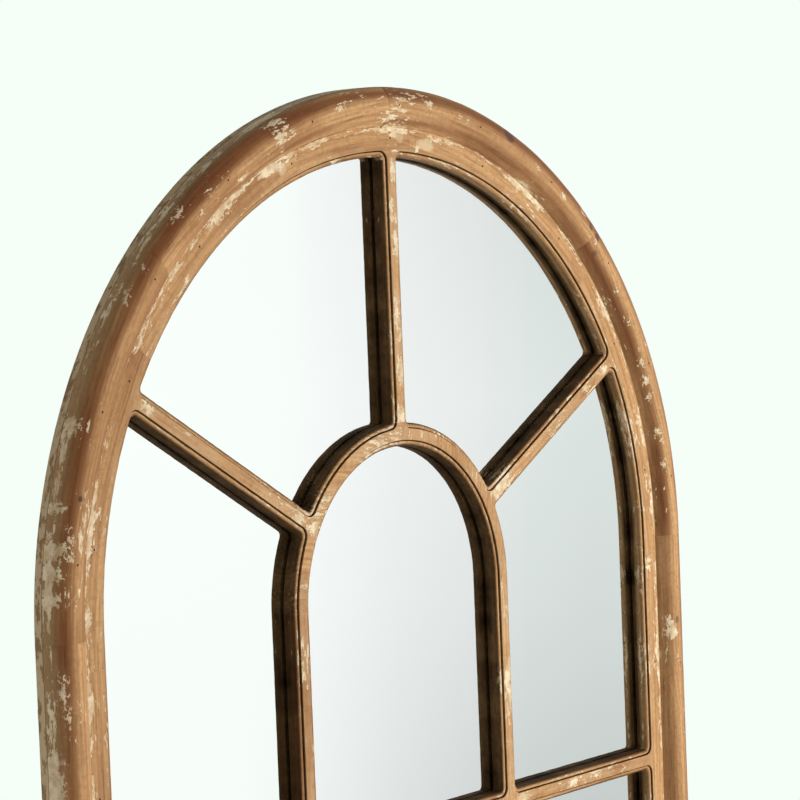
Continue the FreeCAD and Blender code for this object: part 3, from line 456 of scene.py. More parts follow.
BEAD_MARKS = {
    0: [(on_arch(438, 45.0), 7, 8, KNOT, 0.8), (on_arch(424, 43.8), 6, 6, KNOT, 0.5)],
    1: [(on_arch(442, 67.4), 9, 13, KNOT, 0.85), (on_arch(440, 46.8), 7, 6, KNOT, 0.8)],
    3: [(on_arch(437, 165), 4, 5, KNOT, 0.85), (on_arch(445, 170.2), 4, 6, KNOT, 0.8)],
}
BEAD_CHIPS = {
    0: [(on_arch(424, 25.3), 3, 8), (on_arch(424, 22.6), 4, 8), (on_arch(423, 20.2), 2.5, 6),
        (on_arch(424, 14.8), 4, 5), (on_arch(427, 13.4), 3, 5), (on_arch(424, 10.2), 3, 9),
        (on_arch(431, 45), 3, 4), (on_arch(427, 37), 2, 7), (on_arch(426, 31.5), 2.5, 4)],
    1: [(on_arch(434, 78), 2.5, 5), (on_arch(431, 76.3), 3, 5), (on_arch(437, 84), 3, 8),
        (on_arch(434, 60.8), 3, 9), (on_arch(432, 54), 2, 9)],
    2: [(on_arch(429, 128.6), 2.5, 4), (on_arch(433, 112), 3, 6), (on_arch(436, 101), 4, 8),
        (on_arch(424, 120), 3, 10), (on_arch(446, 131), 3, 12)],
    3: [(on_arch(446, 139), 3, 6), (on_arch(447, 142.5), 3, 15), (on_arch(443, 168.2), 3, 4),
        (on_arch(441, 169.3), 2.5, 4), (on_arch(445, 170.1), 3, 4), (on_arch(442, 171), 2, 4),
        (on_arch(450, 170.6), 5, 10), (on_arch(450, 172.8), 4, 8), (on_arch(450, 166.2), 4, 6),
        (on_arch(450, 158), 3, 9), (on_arch(450, 175.5), 4, 8)],
}
for number in range(4):
    start, end = BEAD_JOINTS[number:number + 2]
    count = round((end - start) / 0.62)
    inner = [start + (end - start) * step / count for step in range(1, count)]
    angles = [start, start + 0.06, *inner, end - 0.06, end]
    pine = aged_pine(f"pine_bead_arch_{number + 1}", -(start + end) / 2, 1.3 + 2.9 * number,
                     stained=BEAD_STAIN_AND_SHADE[number], marks=BEAD_MARKS.get(number, ()),
                     chips=BEAD_CHIPS[number], bend=(ARCH_CENTRE, BEAD_AXIS))
    # The lowest right board gets more inner-slope stain and painted shade, turned from the light.
    swept_bead(f"worn_bead_arch_{number + 1}", arch_spot, angles, pine, 1.0 if end < 90 else 0.4,
               0.5 if end < 90 else 1.0)

# ---------------------------------------------------------------- sash and glazing bars
# The flat lattice is pine too: stiles, a bottom rail and five arch boards, nailed to the back
# frame. Uprights, spokes and nine bars are tenoned into them and into a small arch. One router run
# leaves the rounded lip and thin groove round each of the fourteen openings.
WALL = 387.2
WALL_BOTTOM = 82.8
SASH_OUTER = 412.0
SASH_BOTTOM = 38.0
HUB_HEIGHT = 1337.5
LEG_OUTER, LEG_INNER = 157.55, 136.25
BAR_HALF = 10.65
BAR_ROWS = (1121.2, 771.5, 421.8)
SPOKES = dict(right=30, top=90, left=150)
CORNER = 4.0
ZONE, ZONE_BOTTOM = 386.6, 83.4
HOST_OUTER, HOST_INNER = 158.15, 135.65
SASH_JOINTS = (0, 42, 86, 109, 146, 180)
SASH_JOINT_DROP = 27.0
JOINT_HALF = 14
FLAT_DEPTH = 12.2


class Line:
    """A straight edge. The pane lies on the side that `inward` points to."""

    def __init__(self, x, z, inward):
        self.point, self.inward = Vector((x, z)), Vector(inward).normalized()

    def distance(self, spot):
        return (spot - self.point).dot(self.inward)

    def slope(self, spot):
        return self.inward

    def along(self, start, end, step):
        count = max(1, round((end - start).length / step))
        return [start.lerp(end, number / count) for number in range(count + 1)]


class Arc:
    """A round edge. The pane lies inside the circle, or outside it."""

    def __init__(self, z, radius, inside):
        self.centre, self.radius, self.inside = Vector((0, z)), radius, inside

    def distance(self, spot):
        reach = (spot - self.centre).length
        return self.radius - reach if self.inside else reach - self.radius

    def slope(self, spot):
        outwards = (spot - self.centre).normalized()
        return -outwards if self.inside else outwards

    def along(self, start, end, step):
        first, last = start - self.centre, end - self.centre
        turn = last.angle_signed(first)
        count = max(1, round(abs(turn) * self.radius / step))
        return [self.centre + Matrix.Rotation(turn * number / count, 2) @ first
                for number in range(count + 1)]


def fillet_centre(first, second, guess, radius):
    """The point that lies `radius` inside both edges, found by Newton's method."""
    spot = Vector(guess)
    for _ in range(30):
        gaps = (first.distance(spot) - radius, second.distance(spot) - radius)
        a, b = first.slope(spot), second.slope(spot)
        spread = a.x * b.y - a.y * b.x
        spot -= Vector((gaps[0] * b.y - gaps[1] * a.y, gaps[1] * a.x - gaps[0] * b.x)) / spread
    return spot


def pane_outline(edges, step=3.0):
    """Points of a closed pane, each with its direction out into the wood.

    An item is an edge, a guess at the corner after it, and whether the two edges run smoothly
    into each other there, at the guessed point.
    """
    corners = []
    for number, (edge, guess, smooth) in enumerate(edges):
        following = edges[(number + 1) % len(edges)][0]
        if smooth:
            corners.append((None, Vector(guess), Vector(guess)))
        else:
            centre = fillet_centre(edge, following, guess, CORNER)
            corners.append((centre, centre - CORNER * edge.slope(centre),
                            centre - CORNER * following.slope(centre)))
    outline = []
    for number, (edge, _, _) in enumerate(edges):
        start, (centre, end, after) = corners[number - 1][2], corners[number]
        run = edge.along(start, end, step)
        outline += [(spot, -edge.slope(spot)) for spot in run[:-1]]
        if centre is None:
            continue
        first, last = end - centre, after - centre
        turn = last.angle_signed(first)
        for part in range(8):
            arm = Matrix.Rotation(turn * part / 8, 2) @ first
            outline.append((centre + arm, arm.normalized()))
    return outline


def mirrored(outline):
    return [(Vector((-spot.x, spot.y)), Vector((-out.x, out.y))) for spot, out in reversed(outline)]


def make_panes():
    """The outlines of all fourteen openings. Those on the left are mirrored to the right."""
    sash, hub_outside = Arc(ARCH_CENTRE, WALL, True), Arc(HUB_HEIGHT, LEG_OUTER, False)
    stile, leg = Line(-WALL, 0, (1, 0)), Line(-LEG_OUTER, 0, (-1, 0))
    rows = [HUB_HEIGHT, *BAR_ROWS, WALL_BOTTOM - BAR_HALF]
    left, middle = [], []
    for upper, lower in zip(rows[1:], rows[2:]):
        top, bottom = upper - BAR_HALF, lower + BAR_HALF
        for group, x_low, x_high in ((left, -WALL, -LEG_OUTER), (middle, -LEG_INNER, LEG_INNER)):
            group.append(pane_outline([
                (Line(x_low, 0, (1, 0)), (x_low, top), False),
                (Line(0, top, (0, -1)), (x_high, top), False),
                (Line(x_high, 0, (-1, 0)), (x_high, bottom), False),
                (Line(0, bottom, (0, 1)), (x_low, bottom), False),
            ]))
    floor_z = BAR_ROWS[0] + BAR_HALF
    floor_edge = Line(0, floor_z, (0, 1))
    middle.append(pane_outline([
        (Line(-LEG_INNER, 0, (1, 0)), (-LEG_INNER, HUB_HEIGHT), True),
        (Arc(HUB_HEIGHT, LEG_INNER, True), (LEG_INNER, HUB_HEIGHT), True),
        (Line(LEG_INNER, 0, (-1, 0)), (LEG_INNER, floor_z), False),
        (floor_edge, (-LEG_INNER, floor_z), False),
    ]))
    lean = math.radians(SPOKES["left"])
    along = Vector((math.cos(lean), math.sin(lean)))
    across = Vector((-math.sin(lean), math.cos(lean)))
    hub = Vector((0, HUB_HEIGHT))
    below, above = hub + across * BAR_HALF, hub - across * BAR_HALF
    left.append(pane_outline([
        (stile, (-WALL, ARCH_CENTRE), True),
        (sash, below + along * 370, False),
        (Line(*below, across), below + along * 160, False),
        (hub_outside, (-LEG_OUTER, HUB_HEIGHT), True),
        (leg, (-LEG_OUTER, floor_z), False),
        (floor_edge, (-WALL, floor_z), False),
    ]))
    left.append(pane_outline([
        (Line(*above, -across), above + along * 370, False),
        (sash, (-BAR_HALF, ARCH_CENTRE + WALL), False),
        (Line(-BAR_HALF, 0, (-1, 0)), (-BAR_HALF, HUB_HEIGHT + LEG_OUTER), False),
        (hub_outside, above + along * 160, False),
    ]))
    return left + [mirrored(outline) for outline in left] + middle


def arch_loop(reach, bottom, step):
    """A loop at a distance from the middle: up the right stile, over the arch and down again."""
    loop = [(reach, bottom + (ARCH_CENTRE - bottom) * n / 260) for n in range(260)]
    count = round(math.pi * reach / step)
    loop += [arch_spot(reach, 180 * n / count) for n in range(count + 1)]
    loop += [(-reach, ARCH_CENTRE - (ARCH_CENTRE - bottom) * n / 260) for n in range(1, 261)]
    return loop


def owner(x, z):
    """The lattice piece that the wood at this place belongs to."""
    side = "left" if x < 0 else "right"
    reach = math.hypot(x, max(0.0, z - ARCH_CENTRE))
    if reach > ZONE or z < ZONE_BOTTOM:
        if z < ARCH_CENTRE - SASH_JOINT_DROP:
            return f"sash_stile_{side}" if abs(x) > ZONE else "sash_bottom_rail"
        if z < ARCH_CENTRE:
            return "sash_arch_1" if x > 0 else "sash_arch_5"
        angle = math.degrees(math.atan2(z - ARCH_CENTRE, x))
        return f"sash_arch_{sum(angle >= joint for joint in SASH_JOINTS[:-1])}"
    if z > HUB_HEIGHT:
        if math.hypot(x, z - HUB_HEIGHT) < HOST_OUTER:
            return f"inner_arch_{side}"
        angle = math.degrees(math.atan2(z - HUB_HEIGHT, x))
        return "spoke_" + min(SPOKES, key=lambda name: abs(SPOKES[name] - angle))
    if HOST_INNER < abs(x) < HOST_OUTER:
        return f"upright_{side}"
    if z < ZONE_BOTTOM + 2 * CORNER:
        return "sash_bottom_rail"
    bay = "middle" if abs(x) < HOST_INNER else side
    row = min(range(3), key=lambda number: abs(BAR_ROWS[number] - z))
    return f"bar_{bay}_{row + 1}"


def joint_lines():
    """Pairs of points on the face where one piece meets the next."""
    lines = [(arch_spot(WALL + 5, joint), arch_spot(SASH_OUTER, joint))
             for joint in SASH_JOINTS[1:-1]]
    drop = ARCH_CENTRE - SASH_JOINT_DROP
    for sign in (-1, 1):
        lines.append(((sign * (WALL + 5), drop), (sign * SASH_OUTER, drop)))
        lines.append(((sign * ZONE, SASH_BOTTOM), (sign * ZONE, ZONE_BOTTOM)))
        lines.append(((sign * LEG_INNER, HUB_HEIGHT), (sign * LEG_OUTER, HUB_HEIGHT)))
        lines.append(((sign * HOST_INNER, ZONE_BOTTOM), (sign * HOST_OUTER, ZONE_BOTTOM)))
        for row in BAR_ROWS:
            for reach in (HOST_INNER, HOST_OUTER, ZONE):
                lines.append(((sign * reach, row - JOINT_HALF), (sign * reach, row + JOINT_HALF)))
    lines.append(((0, HUB_HEIGHT + LEG_INNER), (0, HUB_HEIGHT + HOST_OUTER)))
    for lean in SPOKES.values():
        turn, half = math.radians(lean), math.degrees(JOINT_HALF / HOST_OUTER)
        angles = [math.radians(lean + half * (n / 4 - 1)) for n in range(9)]
        foot = [(HOST_OUTER * math.cos(a), HUB_HEIGHT + HOST_OUTER * math.sin(a)) for a in angles]
        lines += zip(foot, foot[1:])
        tip = Vector((0, HUB_HEIGHT)) + Vector((math.cos(turn), math.sin(turn))) * ZONE
        middle = math.degrees(math.atan2(tip.y - ARCH_CENTRE, tip.x))
        head = [arch_spot(ZONE, middle + 2.2 * (n / 4 - 1)) for n in range(9)]
        lines += zip(head, head[1:])
    return lines


# The edge of an opening as distance into the wood, depth and traits: back of the wall, wall,
# rounded lip, groove and the start of the flat face. The walls, the lower lip and the groove are
# painted nearly black: painted shade for the shadow inside each opening.
LIP = [(9.0, 25.7, dict(grime=1.0)), (0.0, 25.7, dict(grime=1.0)), (0.0, 23.0, dict(grime=1.0)),
       (0.0, 19.5, dict(grime=0.97)), (0.0, 17.6, dict(grime=0.93))]
LIP_RADIUS, LIP_FOOT = 3, 17.0
# How dark and how painted each step of the lip's round is; the dark is painted shade.
LIP_ROUND_SHADE_AND_PAINT = ((0.96, 0.1), (0.95, 0.1), (0.93, 0.2), (0.8, 0.2), (0.35, 0.45), (0.0, 0.8))
for part, (dirt_and_shade, paint) in enumerate(LIP_ROUND_SHADE_AND_PAINT):
    turn = math.radians(part * 18)
    LIP.append((LIP_RADIUS - LIP_RADIUS * math.cos(turn), LIP_FOOT - LIP_RADIUS * math.sin(turn),
                dict(grime=dirt_and_shade, paint=paint)))
LIP += [(4.25, 14.0, dict(paint=0.7)), (4.35, 14.35, dict(grime=1.0)),
        (5.25, 14.4, dict(grime=1.0)), (5.35, 12.5, dict(grime=0.7, wear=0.2)),
        (5.6, FLAT_DEPTH, dict(wear=0.4, paint=0.65))]
FACE_START = LIP[-1][0]

pane_outlines = make_panes()
lattice_faces = {}


def add_face(corners):
    """Gives a face to the piece that its middle belongs to."""
    middle = sum((Vector(corner[0]) for corner in corners), Vector()) / len(corners)
    lattice_faces.setdefault(owner(middle.x, middle.z), []).append(corners)


for outline in pane_outlines:
    loops = []
    for spot, out in outline:
        loop = []
        on_sash = owner(*(spot + out * FACE_START)).startswith("sash")
        for reach, depth, trait in LIP:
            # Walls against the sash get less painted shade and more paint.
            if on_sash and 14.2 < depth < 20 and reach < 4:
                trait = dict(trait, grime=trait["grime"] * 0.55, paint=0.7)
            if on_sash and spot.x < -100:
                trait = dict(trait, paint=trait.get("paint", 0.0) * 0.3)
            uneven = 0.0
            if 13 < depth < 17:
                uneven = 0.5 * (rough((spot.x, depth * 4, spot.y), 0.16) - 0.5)
            place = spot + out * (reach + uneven)
            loop.append(((place.x, CREST_Y + depth + 0.5 * abs(uneven), place.y), trait))
        loops.append(loop)
    for number, loop in enumerate(loops):
        following = loops[(number + 1) % len(loops)]
        for step in range(len(LIP) - 1):
            add_face([loop[step], loop[step + 1], following[step + 1], following[step]])

# The flat face between the grooves is filled with triangles that respect the joints.
points, fixed_edges = [], []


def fix_path(path, closed):
    first = len(points)
    points.extend(Vector(spot) for spot in path)
    fixed_edges.extend((first + n, first + n + 1) for n in range(len(path) - 1))
    if closed:
        fixed_edges.append((len(points) - 1, first))


EDGE_BANDS = ((SASH_OUTER, dict(paint=1.3)), (409.5, dict(paint=1.1)),
              (404.5, dict(paint=0.4)), (399.0, dict(paint=0.12)))
for reach, trait in EDGE_BANDS:
    fix_path(arch_loop(reach, SASH_BOTTOM + SASH_OUTER - reach, 5.0), True)
for outline in pane_outlines:
    fix_path([spot + out * FACE_START for spot, out in outline], True)
for line in joint_lines():
    fix_path(line, False)
flat_points, _, flat_faces, _, _, _ = delaunay_2d_cdt(points, fixed_edges, [], 0, 1e-4)


def face_trait(spot):
    """Paint is thickest against the bead, and the groove's edge is rubbed."""
    reach = math.hypot(spot.x, max(0.0, spot.y - ARCH_CENTRE))
    reach = max(reach, SASH_OUTER - (spot.y - SASH_BOTTOM)) if spot.y < 500 else reach
    if reach < 398.9:
        return LIP[-1][2] if reach < 394 else dict(paint=0.15)
    return dict(EDGE_BANDS[min(range(4), key=lambda n: abs(EDGE_BANDS[n][0] - reach))][1])


def inside(outline, x, z):
    """Whether a place is within a closed loop of points."""
    crossings = False
    for (a, b), (c, d) in zip(outline, outline[1:] + outline[:1]):
        if (b > z) != (d > z) and x < a + (z - b) * (c - a) / (d - b):
            crossings = not crossings
    return crossings


holes = []
for outline in pane_outlines:
    loop = [tuple(spot + out * FACE_START) for spot, out in outline]
    xs, zs = [x for x, _ in loop], [z for _, z in loop]
    holes.append((min(xs), max(xs), min(zs), max(zs), loop))
for face in flat_faces:
    corners = [flat_points[index] for index in face]
    middle = sum(corners, Vector((0, 0))) / len(corners)
    if any(x0 < middle.x < x1 and z0 < middle.y < z1 and inside(loop, middle.x, middle.y)
           for x0, x1, z0, z1, loop in holes):
        continue
    add_face([((spot.x, CREST_Y + FLAT_DEPTH, spot.y), face_trait(spot)) for spot in corners])
outer_loop = arch_loop(SASH_OUTER, SASH_BOTTOM, 5.0)
for (a, b), (c, d) in zip(outer_loop, outer_loop[1:] + outer_loop[:1]):
    add_face([((x, CREST_Y + depth, z), dict(paint=1.3)) for x, depth, z in (
        (a, FLAT_DEPTH, b), (c, FLAT_DEPTH, d), (c, BEAD_BACK, d), (a, BEAD_BACK, b))])

LEAN = dict(sash_bottom_rail=90, inner_arch_left=-45, inner_arch_right=45, spoke_top=0,
            spoke_left=-60, spoke_right=60)
LEAN.update((f"sash_arch_{n + 1}", -sum(SASH_JOINTS[n:n + 2]) / 2) for n in range(5))
STAINED = dict(sash_arch_1=0.25, sash_arch_2=0.25, sash_arch_3=0.6, sash_arch_4=0.75,
               sash_arch_5=0.7, sash_stile_left=0.7, sash_stile_right=0.4, spoke_top=0.15,
               spoke_right=0.5)
SASH_MARKS = {
    "sash_arch_4": [(on_arch(403, 112), 8, 11, WASH, 0.55)],
    "sash_arch_3": [(on_arch(405, 88), 8, 9, WASH, 0.4)],
    "sash_arch_2": [(on_arch(401, 82.5), 10, 21, WASH, 0.7)],
}
SASH_CHIPS = {
    "sash_arch_1": [((398, 1327, 0), 7, 5)],
    "spoke_top": [((2, 1722, 0), 6, 16), ((-2, 1690, 0), 4, 14), ((2, 1655, 0), 5, 18),
                  ((-1, 1600, 0), 4, 22), ((2, 1545, 0), 5, 20), ((0, 1502, 0), 7, 9)],
    "sash_stile_right": [((398, 1320, 0), 7, 5)],
    "sash_arch_5": [(on_arch(408, 177.6), 4, 12), (on_arch(410, 169), 3, 22)],
    "sash_arch_4": [(on_arch(408, 113), 5, 12), (on_arch(409, 126), 3, 16)],
    "sash_arch_2": [(on_arch(409, 81), 3, 16), (on_arch(398, 84.5), 6, 4)],
    "spoke_left": [((-147, 1422, 60), 5, 9), ((-330, 1529, 60), 7, 9)],
    "inner_arch_left": [((-128, 1412, 60), 8, 5), ((6, 1488, 0), 8, 7)],
    "bar_right_1": [((168, 1121, 90), 6, 14), ((250, 1121, 90), 5, 9), ((290, 1123, 90), 4, 12)],
    "spoke_right": [((145, 1420, -60), 7, 14), ((330, 1527, -60), 6, 9)],
}
for order, (node, faces) in enumerate(sorted(lattice_faces.items())):
    lean = 90 if node.startswith("bar") else LEAN.get(node, 0)
    vertices, traits, corners = [], [], []
    for face in faces:
        corners.append(tuple(range(len(vertices), len(vertices) + len(face))))
        vertices += [place for place, _ in face]
        traits += [trait for _, trait in face]
    bend = None
    if node.startswith("sash_arch"):
        bend = (ARCH_CENTRE, (WALL + SASH_OUTER) / 2)
    elif node.startswith("inner_arch"):
        bend = (HUB_HEIGHT, (LEG_INNER + LEG_OUTER) / 2)
    pine = aged_pine("pine_" + node, lean, 2.3 + 1.7 * order, 60, STAINED.get(node, 0.75),
                     SASH_MARKS.get(node, ()), SASH_CHIPS.get(node, ()), bend)
    piece = finish_mesh("worn_" + node, vertices, corners, traits, pine, 35, merge=True)
    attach(piece, "frame")
    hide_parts(node)

# ---------------------------------------------------------------- nail holes
# Each finish nail is sunk below the face. Its small hole is a flat dark disc: painted shade for
# the recess, with old stain. The places come from the nails in the frame, and every hole lies on
# the worn surface in front of its nail.
HOLE_RADIUS = 1.05
HOLE_LIFT = 0.05


def nail_places(node):
    """The x and z of each nail in a group, in millimetres, from the middle of its box."""
    groups = []
    for vertex in frame["nodes"][node].data.vertices:
        x, z = vertex.co.x / MM, vertex.co.z / MM
        for group in groups:
            if math.hypot(group[0][0] - x, group[0][1] - z) < 8:
                group.append((x, z))
                break
        else:
            groups.append([(x, z)])
    middles = []
    for group in groups:
        xs, zs = [x for x, _ in group], [z for _, z in group]
        middles.append(((min(xs) + max(xs)) / 2, (min(zs) + max(zs)) / 2))
    return middles


hole_material, tree, output = new_material("old_nail_hole")
depths = cloud(tree, tree.nodes.new("ShaderNodeTexCoord").outputs["Object"], 700.0, 2.0)
dark = add_node(tree, "ShaderNodeBsdfPrincipled", {
    "Base Color": mixed(tree, depths, rgb(20, 13, 8), rgb(70, 44, 24)), "Roughness": 0.9})
tree.links.new(dark.outputs[0], output.inputs[0])
for node, starts in (("bead_nails", "worn_bead"), ("sash_nails", "worn_sash")):
    hosts = [BVHTree.FromObject(item, bpy.context.evaluated_depsgraph_get())
             for item in bpy.data.objects if item.name.startswith(starts)]
    vertices, faces = [], []
    for number, (x, z) in enumerate(nail_places(node)):
        hits = [host.ray_cast((x * MM, -0.05, z * MM), (0, 1, 0))[0] for host in hosts]
        surface = min(hit.y for hit in hits if hit) / MM - HOLE_LIFT
        first = len(vertices)
        for corner in range(12):
            turn, uneven = math.radians(30 * corner), rough((number * 37, corner * 60, 5), 0.4)
            reach = HOLE_RADIUS * (0.75 + 0.45 * uneven)
            vertices.append((x + reach * math.cos(turn), surface, z + reach * math.sin(turn)))
        vertices.append((x, surface, z))
        faces += [(first + n, first + (n + 1) % 12, first + 12) for n in range(12)]
    holes_piece = finish_mesh(node.replace("nails", "nail_holes"), vertices, faces,
                              [{}] * len(vertices), hole_material, 30)
    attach(holes_piece, "frame")

# ---------------------------------------------------------------- mirror
# One arched sheet of four-millimetre mirror lies behind the whole lattice. The silver is on its
# back, so it shows as a plane a little behind the wood's foot, with a black line along every wall.
SILVER_Y = 9.2
SHEET_BACK_Y = 11.1
GLASS_RADIUS = 395.2
GLASS_BOTTOM = 74.8
silver, tree, output = new_material("mirror_silver")
sheen = cloud(tree, tree.nodes.new("ShaderNodeTexCoord").outputs["Object"], 3.0)
shine = add_node(tree, "ShaderNodeBsdfPrincipled", {
    "Base Color": rgb(247, 249, 248), "Metallic": 1.0,
    "Roughness": sums(tree, "MULTIPLY_ADD", sheen, 0.004, 0.001)})
tree.links.new(shine.outputs[0], output.inputs[0])
loop = arch_loop(GLASS_RADIUS, GLASS_BOTTOM, 4.0)
size = len(loop)
vertices = [(x, SILVER_Y, z) for x, z in loop] + [(x, SHEET_BACK_Y, z) for x, z in loop]
faces = [tuple(range(size)), tuple(range(size, 2 * size))]
faces += [(n, (n + 1) % size, size + (n + 1) % size, size + n) for n in range(size)]
mirror = finish_mesh("silvered_sheet", vertices, faces, [{}] * (2 * size), silver, 30)
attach(mirror, "frame")
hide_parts("mirror_sheet")

# ---------------------------------------------------------------- back frame, board and hardware
# The back is plain: butted sawn boards, a hardboard panel screwed over the mirror, two zinc-plated
# strap hangers and four rubber bumpers.


def sawn_pine(name, lean, seed):
    material, tree, output = new_material(name)
    here = tree.nodes.new("ShaderNodeTexCoord").outputs["Object"]
    grain = stretched(tree, here, (1, 1, 1), (seed, seed * 0.7, seed * 0.3), -math.radians(lean))
    streak = cloud(tree, stretched(tree, grain, (120, 120, 5)), 1.0, 4.0, 0.6)
    saw = cloud(tree, stretched(tree, grain, (8, 8, 900)), 1.0, 2.0)
    patch = cloud(tree, here, 7.0, 3.0)
    colour = mixed(tree, streak, rgb(176, 148, 112), rgb(228, 206, 168))
    colour = mixed(tree, ramp(tree, patch, (0.4, 0.0), (0.7, 0.55)), colour, rgb(150, 138, 120))
    normal = add_node(tree, "ShaderNodeSeparateXYZ", {
        0: tree.nodes.new("ShaderNodeNewGeometry").outputs["Normal"]})
    outer = sums(tree, "SUBTRACT", 1.0, sums(tree, "ABSOLUTE", normal.outputs["Y"]))
    # The outer side is weathered like the bead's, with some of its paint.
    ragged = cloud(tree, stretched(tree, grain, (150, 150, 50)), 1.0, 8.0, 0.7)
    left_paint = sums(tree, "MULTIPLY", steep(tree, ragged, 0.47, 0.02), 0.75)
    weathered = mixed(tree, left_paint, rgb(146, 116, 80), rgb(224, 204, 168))
    colour = mixed(tree, sums(tree, "MULTIPLY", outer, 0.9), colour, weathered)
    height = sums(tree, "MULTIPLY_ADD", saw, 0.4, streak)
    bump = add_node(tree, "ShaderNodeBump", {"Height": height, "Strength": 0.4, "Distance": 0.0006})
    shader = add_node(tree, "ShaderNodeBsdfPrincipled", {
        "Base Color": colour, "Roughness": 0.8, "Normal": bump.outputs[0],
        "Specular IOR Level": 0.2})
    tree.links.new(shader.outputs[0], output.inputs[0])
    return material


def plain_stuff(name, first, second, roughness, scale, metallic=0.0):
    """A material of two close tones, with the fine unevenness that its surface has."""
    material, tree, output = new_material(name)
    here = tree.nodes.new("ShaderNodeTexCoord").outputs["Object"]
    mottle = cloud(tree, here, scale, 5.0, 0.65)
    colour = mixed(tree, ramp(tree, mottle, (0.35, 0.0), (0.65, 1.0)), first, second)
    bump = add_node(tree, "ShaderNodeBump", {
        "Height": cloud(tree, here, scale * 9, 3.0), "Strength": 0.2, "Distance": 0.0003})
    shader = add_node(tree, "ShaderNodeBsdfPrincipled", {
        "Base Color": colour, "Roughness": sums(tree, "MULTIPLY_ADD", mottle, 0.2, roughness - 0.1),
        "Metallic": metallic, "Normal": bump.outputs[0]})
    tree.links.new(shader.outputs[0], output.inputs[0])
    return material


def dress(node, material):
    item = frame["nodes"][node]
    item.data.materials.clear()
    item.data.materials.append(material)


BACK_LEANS = dict(back_stile_left=0, back_stile_right=0, back_bottom=90, back_arch_left=30,
                  back_arch_right=-30, back_arch_crown=90)
for order, (node, lean) in enumerate(BACK_LEANS.items()):
    dress(node, sawn_pine("sawn_" + node, lean, 0.7 + 1.3 * order))
dress("backboard", plain_stuff("hardboard", rgb(104, 74, 48), rgb(132, 98, 66), 0.65, 140))
steel = plain_stuff("nail_steel", rgb(120, 112, 104), rgb(90, 74, 60), 0.5, 400, 0.8)
zinc = plain_stuff("zinc_plate", rgb(176, 178, 176), rgb(148, 152, 154), 0.38, 220, 0.95)
rubber = plain_stuff("black_rubber", rgb(26, 26, 27), rgb(38, 38, 39), 0.75, 300)
for node in ("bead_nails", "sash_nails"):
    dress(node, steel)
for node in frame["nodes"]:
    if "screws" in node or node.startswith("hanger"):
        dress(node, zinc)
    if node.startswith("bumper"):
        dress(node, rubber)

# ---------------------------------------------------------------- light, floor and surroundings
# Three soft boxes light the wood, and the mirror doesn't show them: a key in front on the right, a
# weak fill on the left and one behind. The surroundings look pale but give off little light.


def seen_rays(tree):
    """1 where a thing is looked at, directly or in the mirror, and 0 where it only gives light."""
    rays = tree.nodes.new("ShaderNodeLightPath")
    seen = sums(tree, "MAXIMUM", rays.outputs["Is Camera Ray"], rays.outputs["Is Glossy Ray"])
    return sums(tree, "MAXIMUM", seen, rays.outputs["Is Transmission Ray"])


world = bpy.data.worlds.new("studio")
bpy.context.scene.world = world
world.use_nodes = True
tree = world.node_tree
tree.nodes.clear()
plain = add_node(tree, "ShaderNodeBackground", {"Color": (1, 0.92, 0.82, 1), "Strength": 0.15})
shown = add_node(tree, "ShaderNodeBackground", {"Color": rgb(245, 255, 248), "Strength": 1.0})
both = add_node(tree, "ShaderNodeMixShader", {
    0: seen_rays(tree), 1: plain.outputs[0], 2: shown.outputs[0]})
surroundings = tree.nodes.new("ShaderNodeOutputWorld")
tree.links.new(both.outputs[0], surroundings.inputs[0])


def soft_box(name, place, target, width, height, power, colour):
    """A rectangular light aimed at a target."""
    lamp = bpy.data.lights.new(name, "AREA")
    lamp.shape = "RECTANGLE"
    lamp.size = width
    lamp.size_y = height
    lamp.energy = power
    lamp.color = colour
    lamp_object = bpy.data.objects.new(name, lamp)
    bpy.context.scene.collection.objects.link(lamp_object)
    aim = Vector(target) - Vector(place)
    turned = aim.to_track_quat("-Z", "Y").to_matrix().to_4x4()
    lamp_object.matrix_world = Matrix.Translation(place) @ turned
    lamp_object.visible_glossy = False


soft_box("key_light", (2.55, -2.95, 1.2), (0, 0, 1.3), 1.5, 1.9, 160, (1, 0.985, 0.96))
soft_box("fill_light", (-3.4, -0.7, 1.5), (-0.4, 0, 1.3), 1.8, 1.8, 22, (1, 0.97, 0.93))
soft_box("back_light", (0.2, 3.4, 1.4), (0, 0, 1.0), 2.2, 2.0, 110, (1, 0.98, 0.95))

floor_material, tree, output = new_material("pale_floor")
floor_tone = add_node(tree, "ShaderNodeBsdfDiffuse", {"Color": rgb(236, 242, 238)})
floor_glow = add_node(tree, "ShaderNodeEmission", {"Color": rgb(236, 242, 238), "Strength": 0.75})
pale = add_node(tree, "ShaderNodeMixShader", {
    0: sums(tree, "MULTIPLY", seen_rays(tree), 0.6),
    1: floor_tone.outputs[0], 2: floor_glow.outputs[0]})
tree.links.new(pale.outputs[0], output.inputs[0])
floor_mesh = bpy.data.meshes.new("floor")
floor_mesh.from_pydata([(-3, -3, 0), (3, -3, 0), (3, 3, 0), (-3, 3, 0)], [], [(0, 1, 2, 3)])
floor_mesh.materials.append(floor_material)
floor = bpy.data.objects.new("floor", floor_mesh)
bpy.context.scene.collection.objects.link(floor)
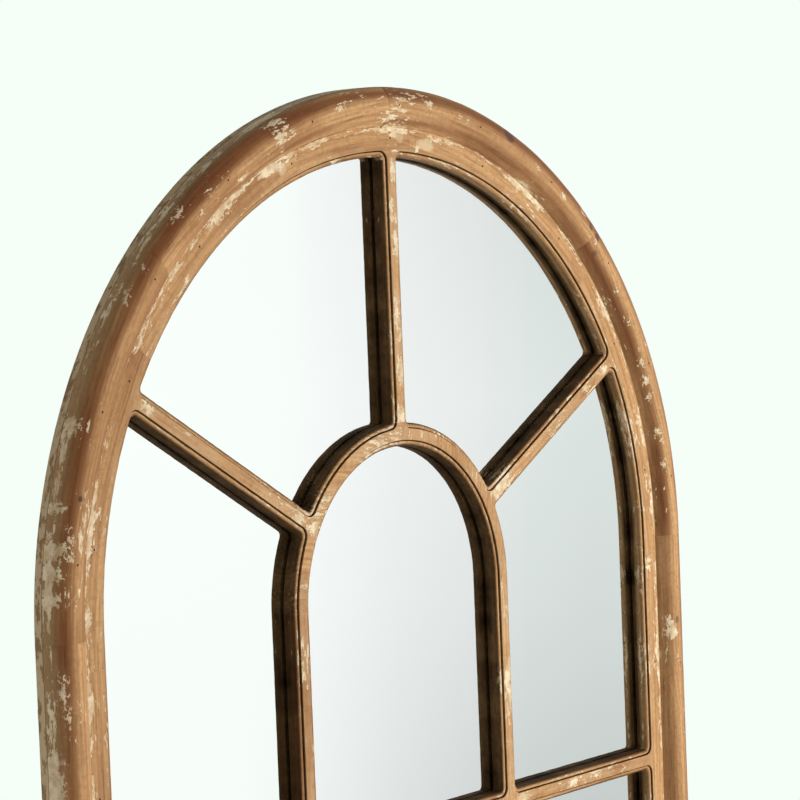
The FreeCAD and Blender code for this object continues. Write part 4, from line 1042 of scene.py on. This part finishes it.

# What the mirror shows is a studio wall whose soft, uneven light is painted into its glow: a
# painted reflection. It is a plane that only reflections see, squared up to the view as the
# mirror turns it.
WALL_DISTANCE = 5.0
TONE_SPAN = 1.5
camera_x, camera_y, camera_z = CAMERA_PLACE
seen_from = Vector((camera_x, 2 * SILVER_Y * MM - camera_y, camera_z))
flipped = [Vector((way.x, -way.y, way.z)) for way in (right, upwards, backwards)]
wall_place = seen_from - flipped[2] * WALL_DISTANCE
wall_material, tree, output = new_material("studio_wall")
spot = add_node(tree, "ShaderNodeSeparateXYZ", {
    0: tree.nodes.new("ShaderNodeTexCoord").outputs["Object"]})
across = sums(tree, "MULTIPLY_ADD", spot.outputs["X"], 1 / TONE_SPAN, 0.5)
drop = sums(tree, "MULTIPLY_ADD", spot.outputs["Y"], 1 / TONE_SPAN, 0.5)
tone = ramp(tree, across, (0.0, rgb(251, 255, 252)), (0.35, rgb(250, 255, 251)),
            (0.4, rgb(247, 249, 249)), (0.44, rgb(244, 246, 245)), (0.5, rgb(239, 241, 241)),
            (0.6, rgb(233, 235, 234)), (0.66, rgb(225, 231, 229)), (0.74, rgb(221, 227, 225)),
            (1.0, rgb(219, 225, 223)))
fall = ramp(tree, drop, (0.0, 0.80), (0.25, 0.93), (0.5, 1.0), (0.78, 0.925))
tone = mixed(tree, ramp(tree, across, (0.3, 0.1), (0.62, 1.0)), tone, fall, "MULTIPLY")
glow = add_node(tree, "ShaderNodeEmission", {"Color": tone, "Strength": 1.06})
tree.links.new(glow.outputs[0], output.inputs[0])
wall_mesh = bpy.data.meshes.new("studio_wall")
wall_mesh.from_pydata([(-2, -1.6, 0), (2, -1.6, 0), (2, 1.6, 0), (-2, 1.6, 0)], [], [(0, 1, 2, 3)])
wall_mesh.materials.append(wall_material)
studio_wall = bpy.data.objects.new("studio_wall", wall_mesh)
bpy.context.scene.collection.objects.link(studio_wall)
facing = flipped[0].cross(flipped[1])
studio_wall.matrix_world = Matrix.Translation(wall_place) @ Matrix((
    flipped[0], flipped[1], facing)).transposed().to_4x4()
studio_wall.visible_camera = False
studio_wall.visible_diffuse = False
studio_wall.visible_shadow = False
studio_wall.visible_transmission = False
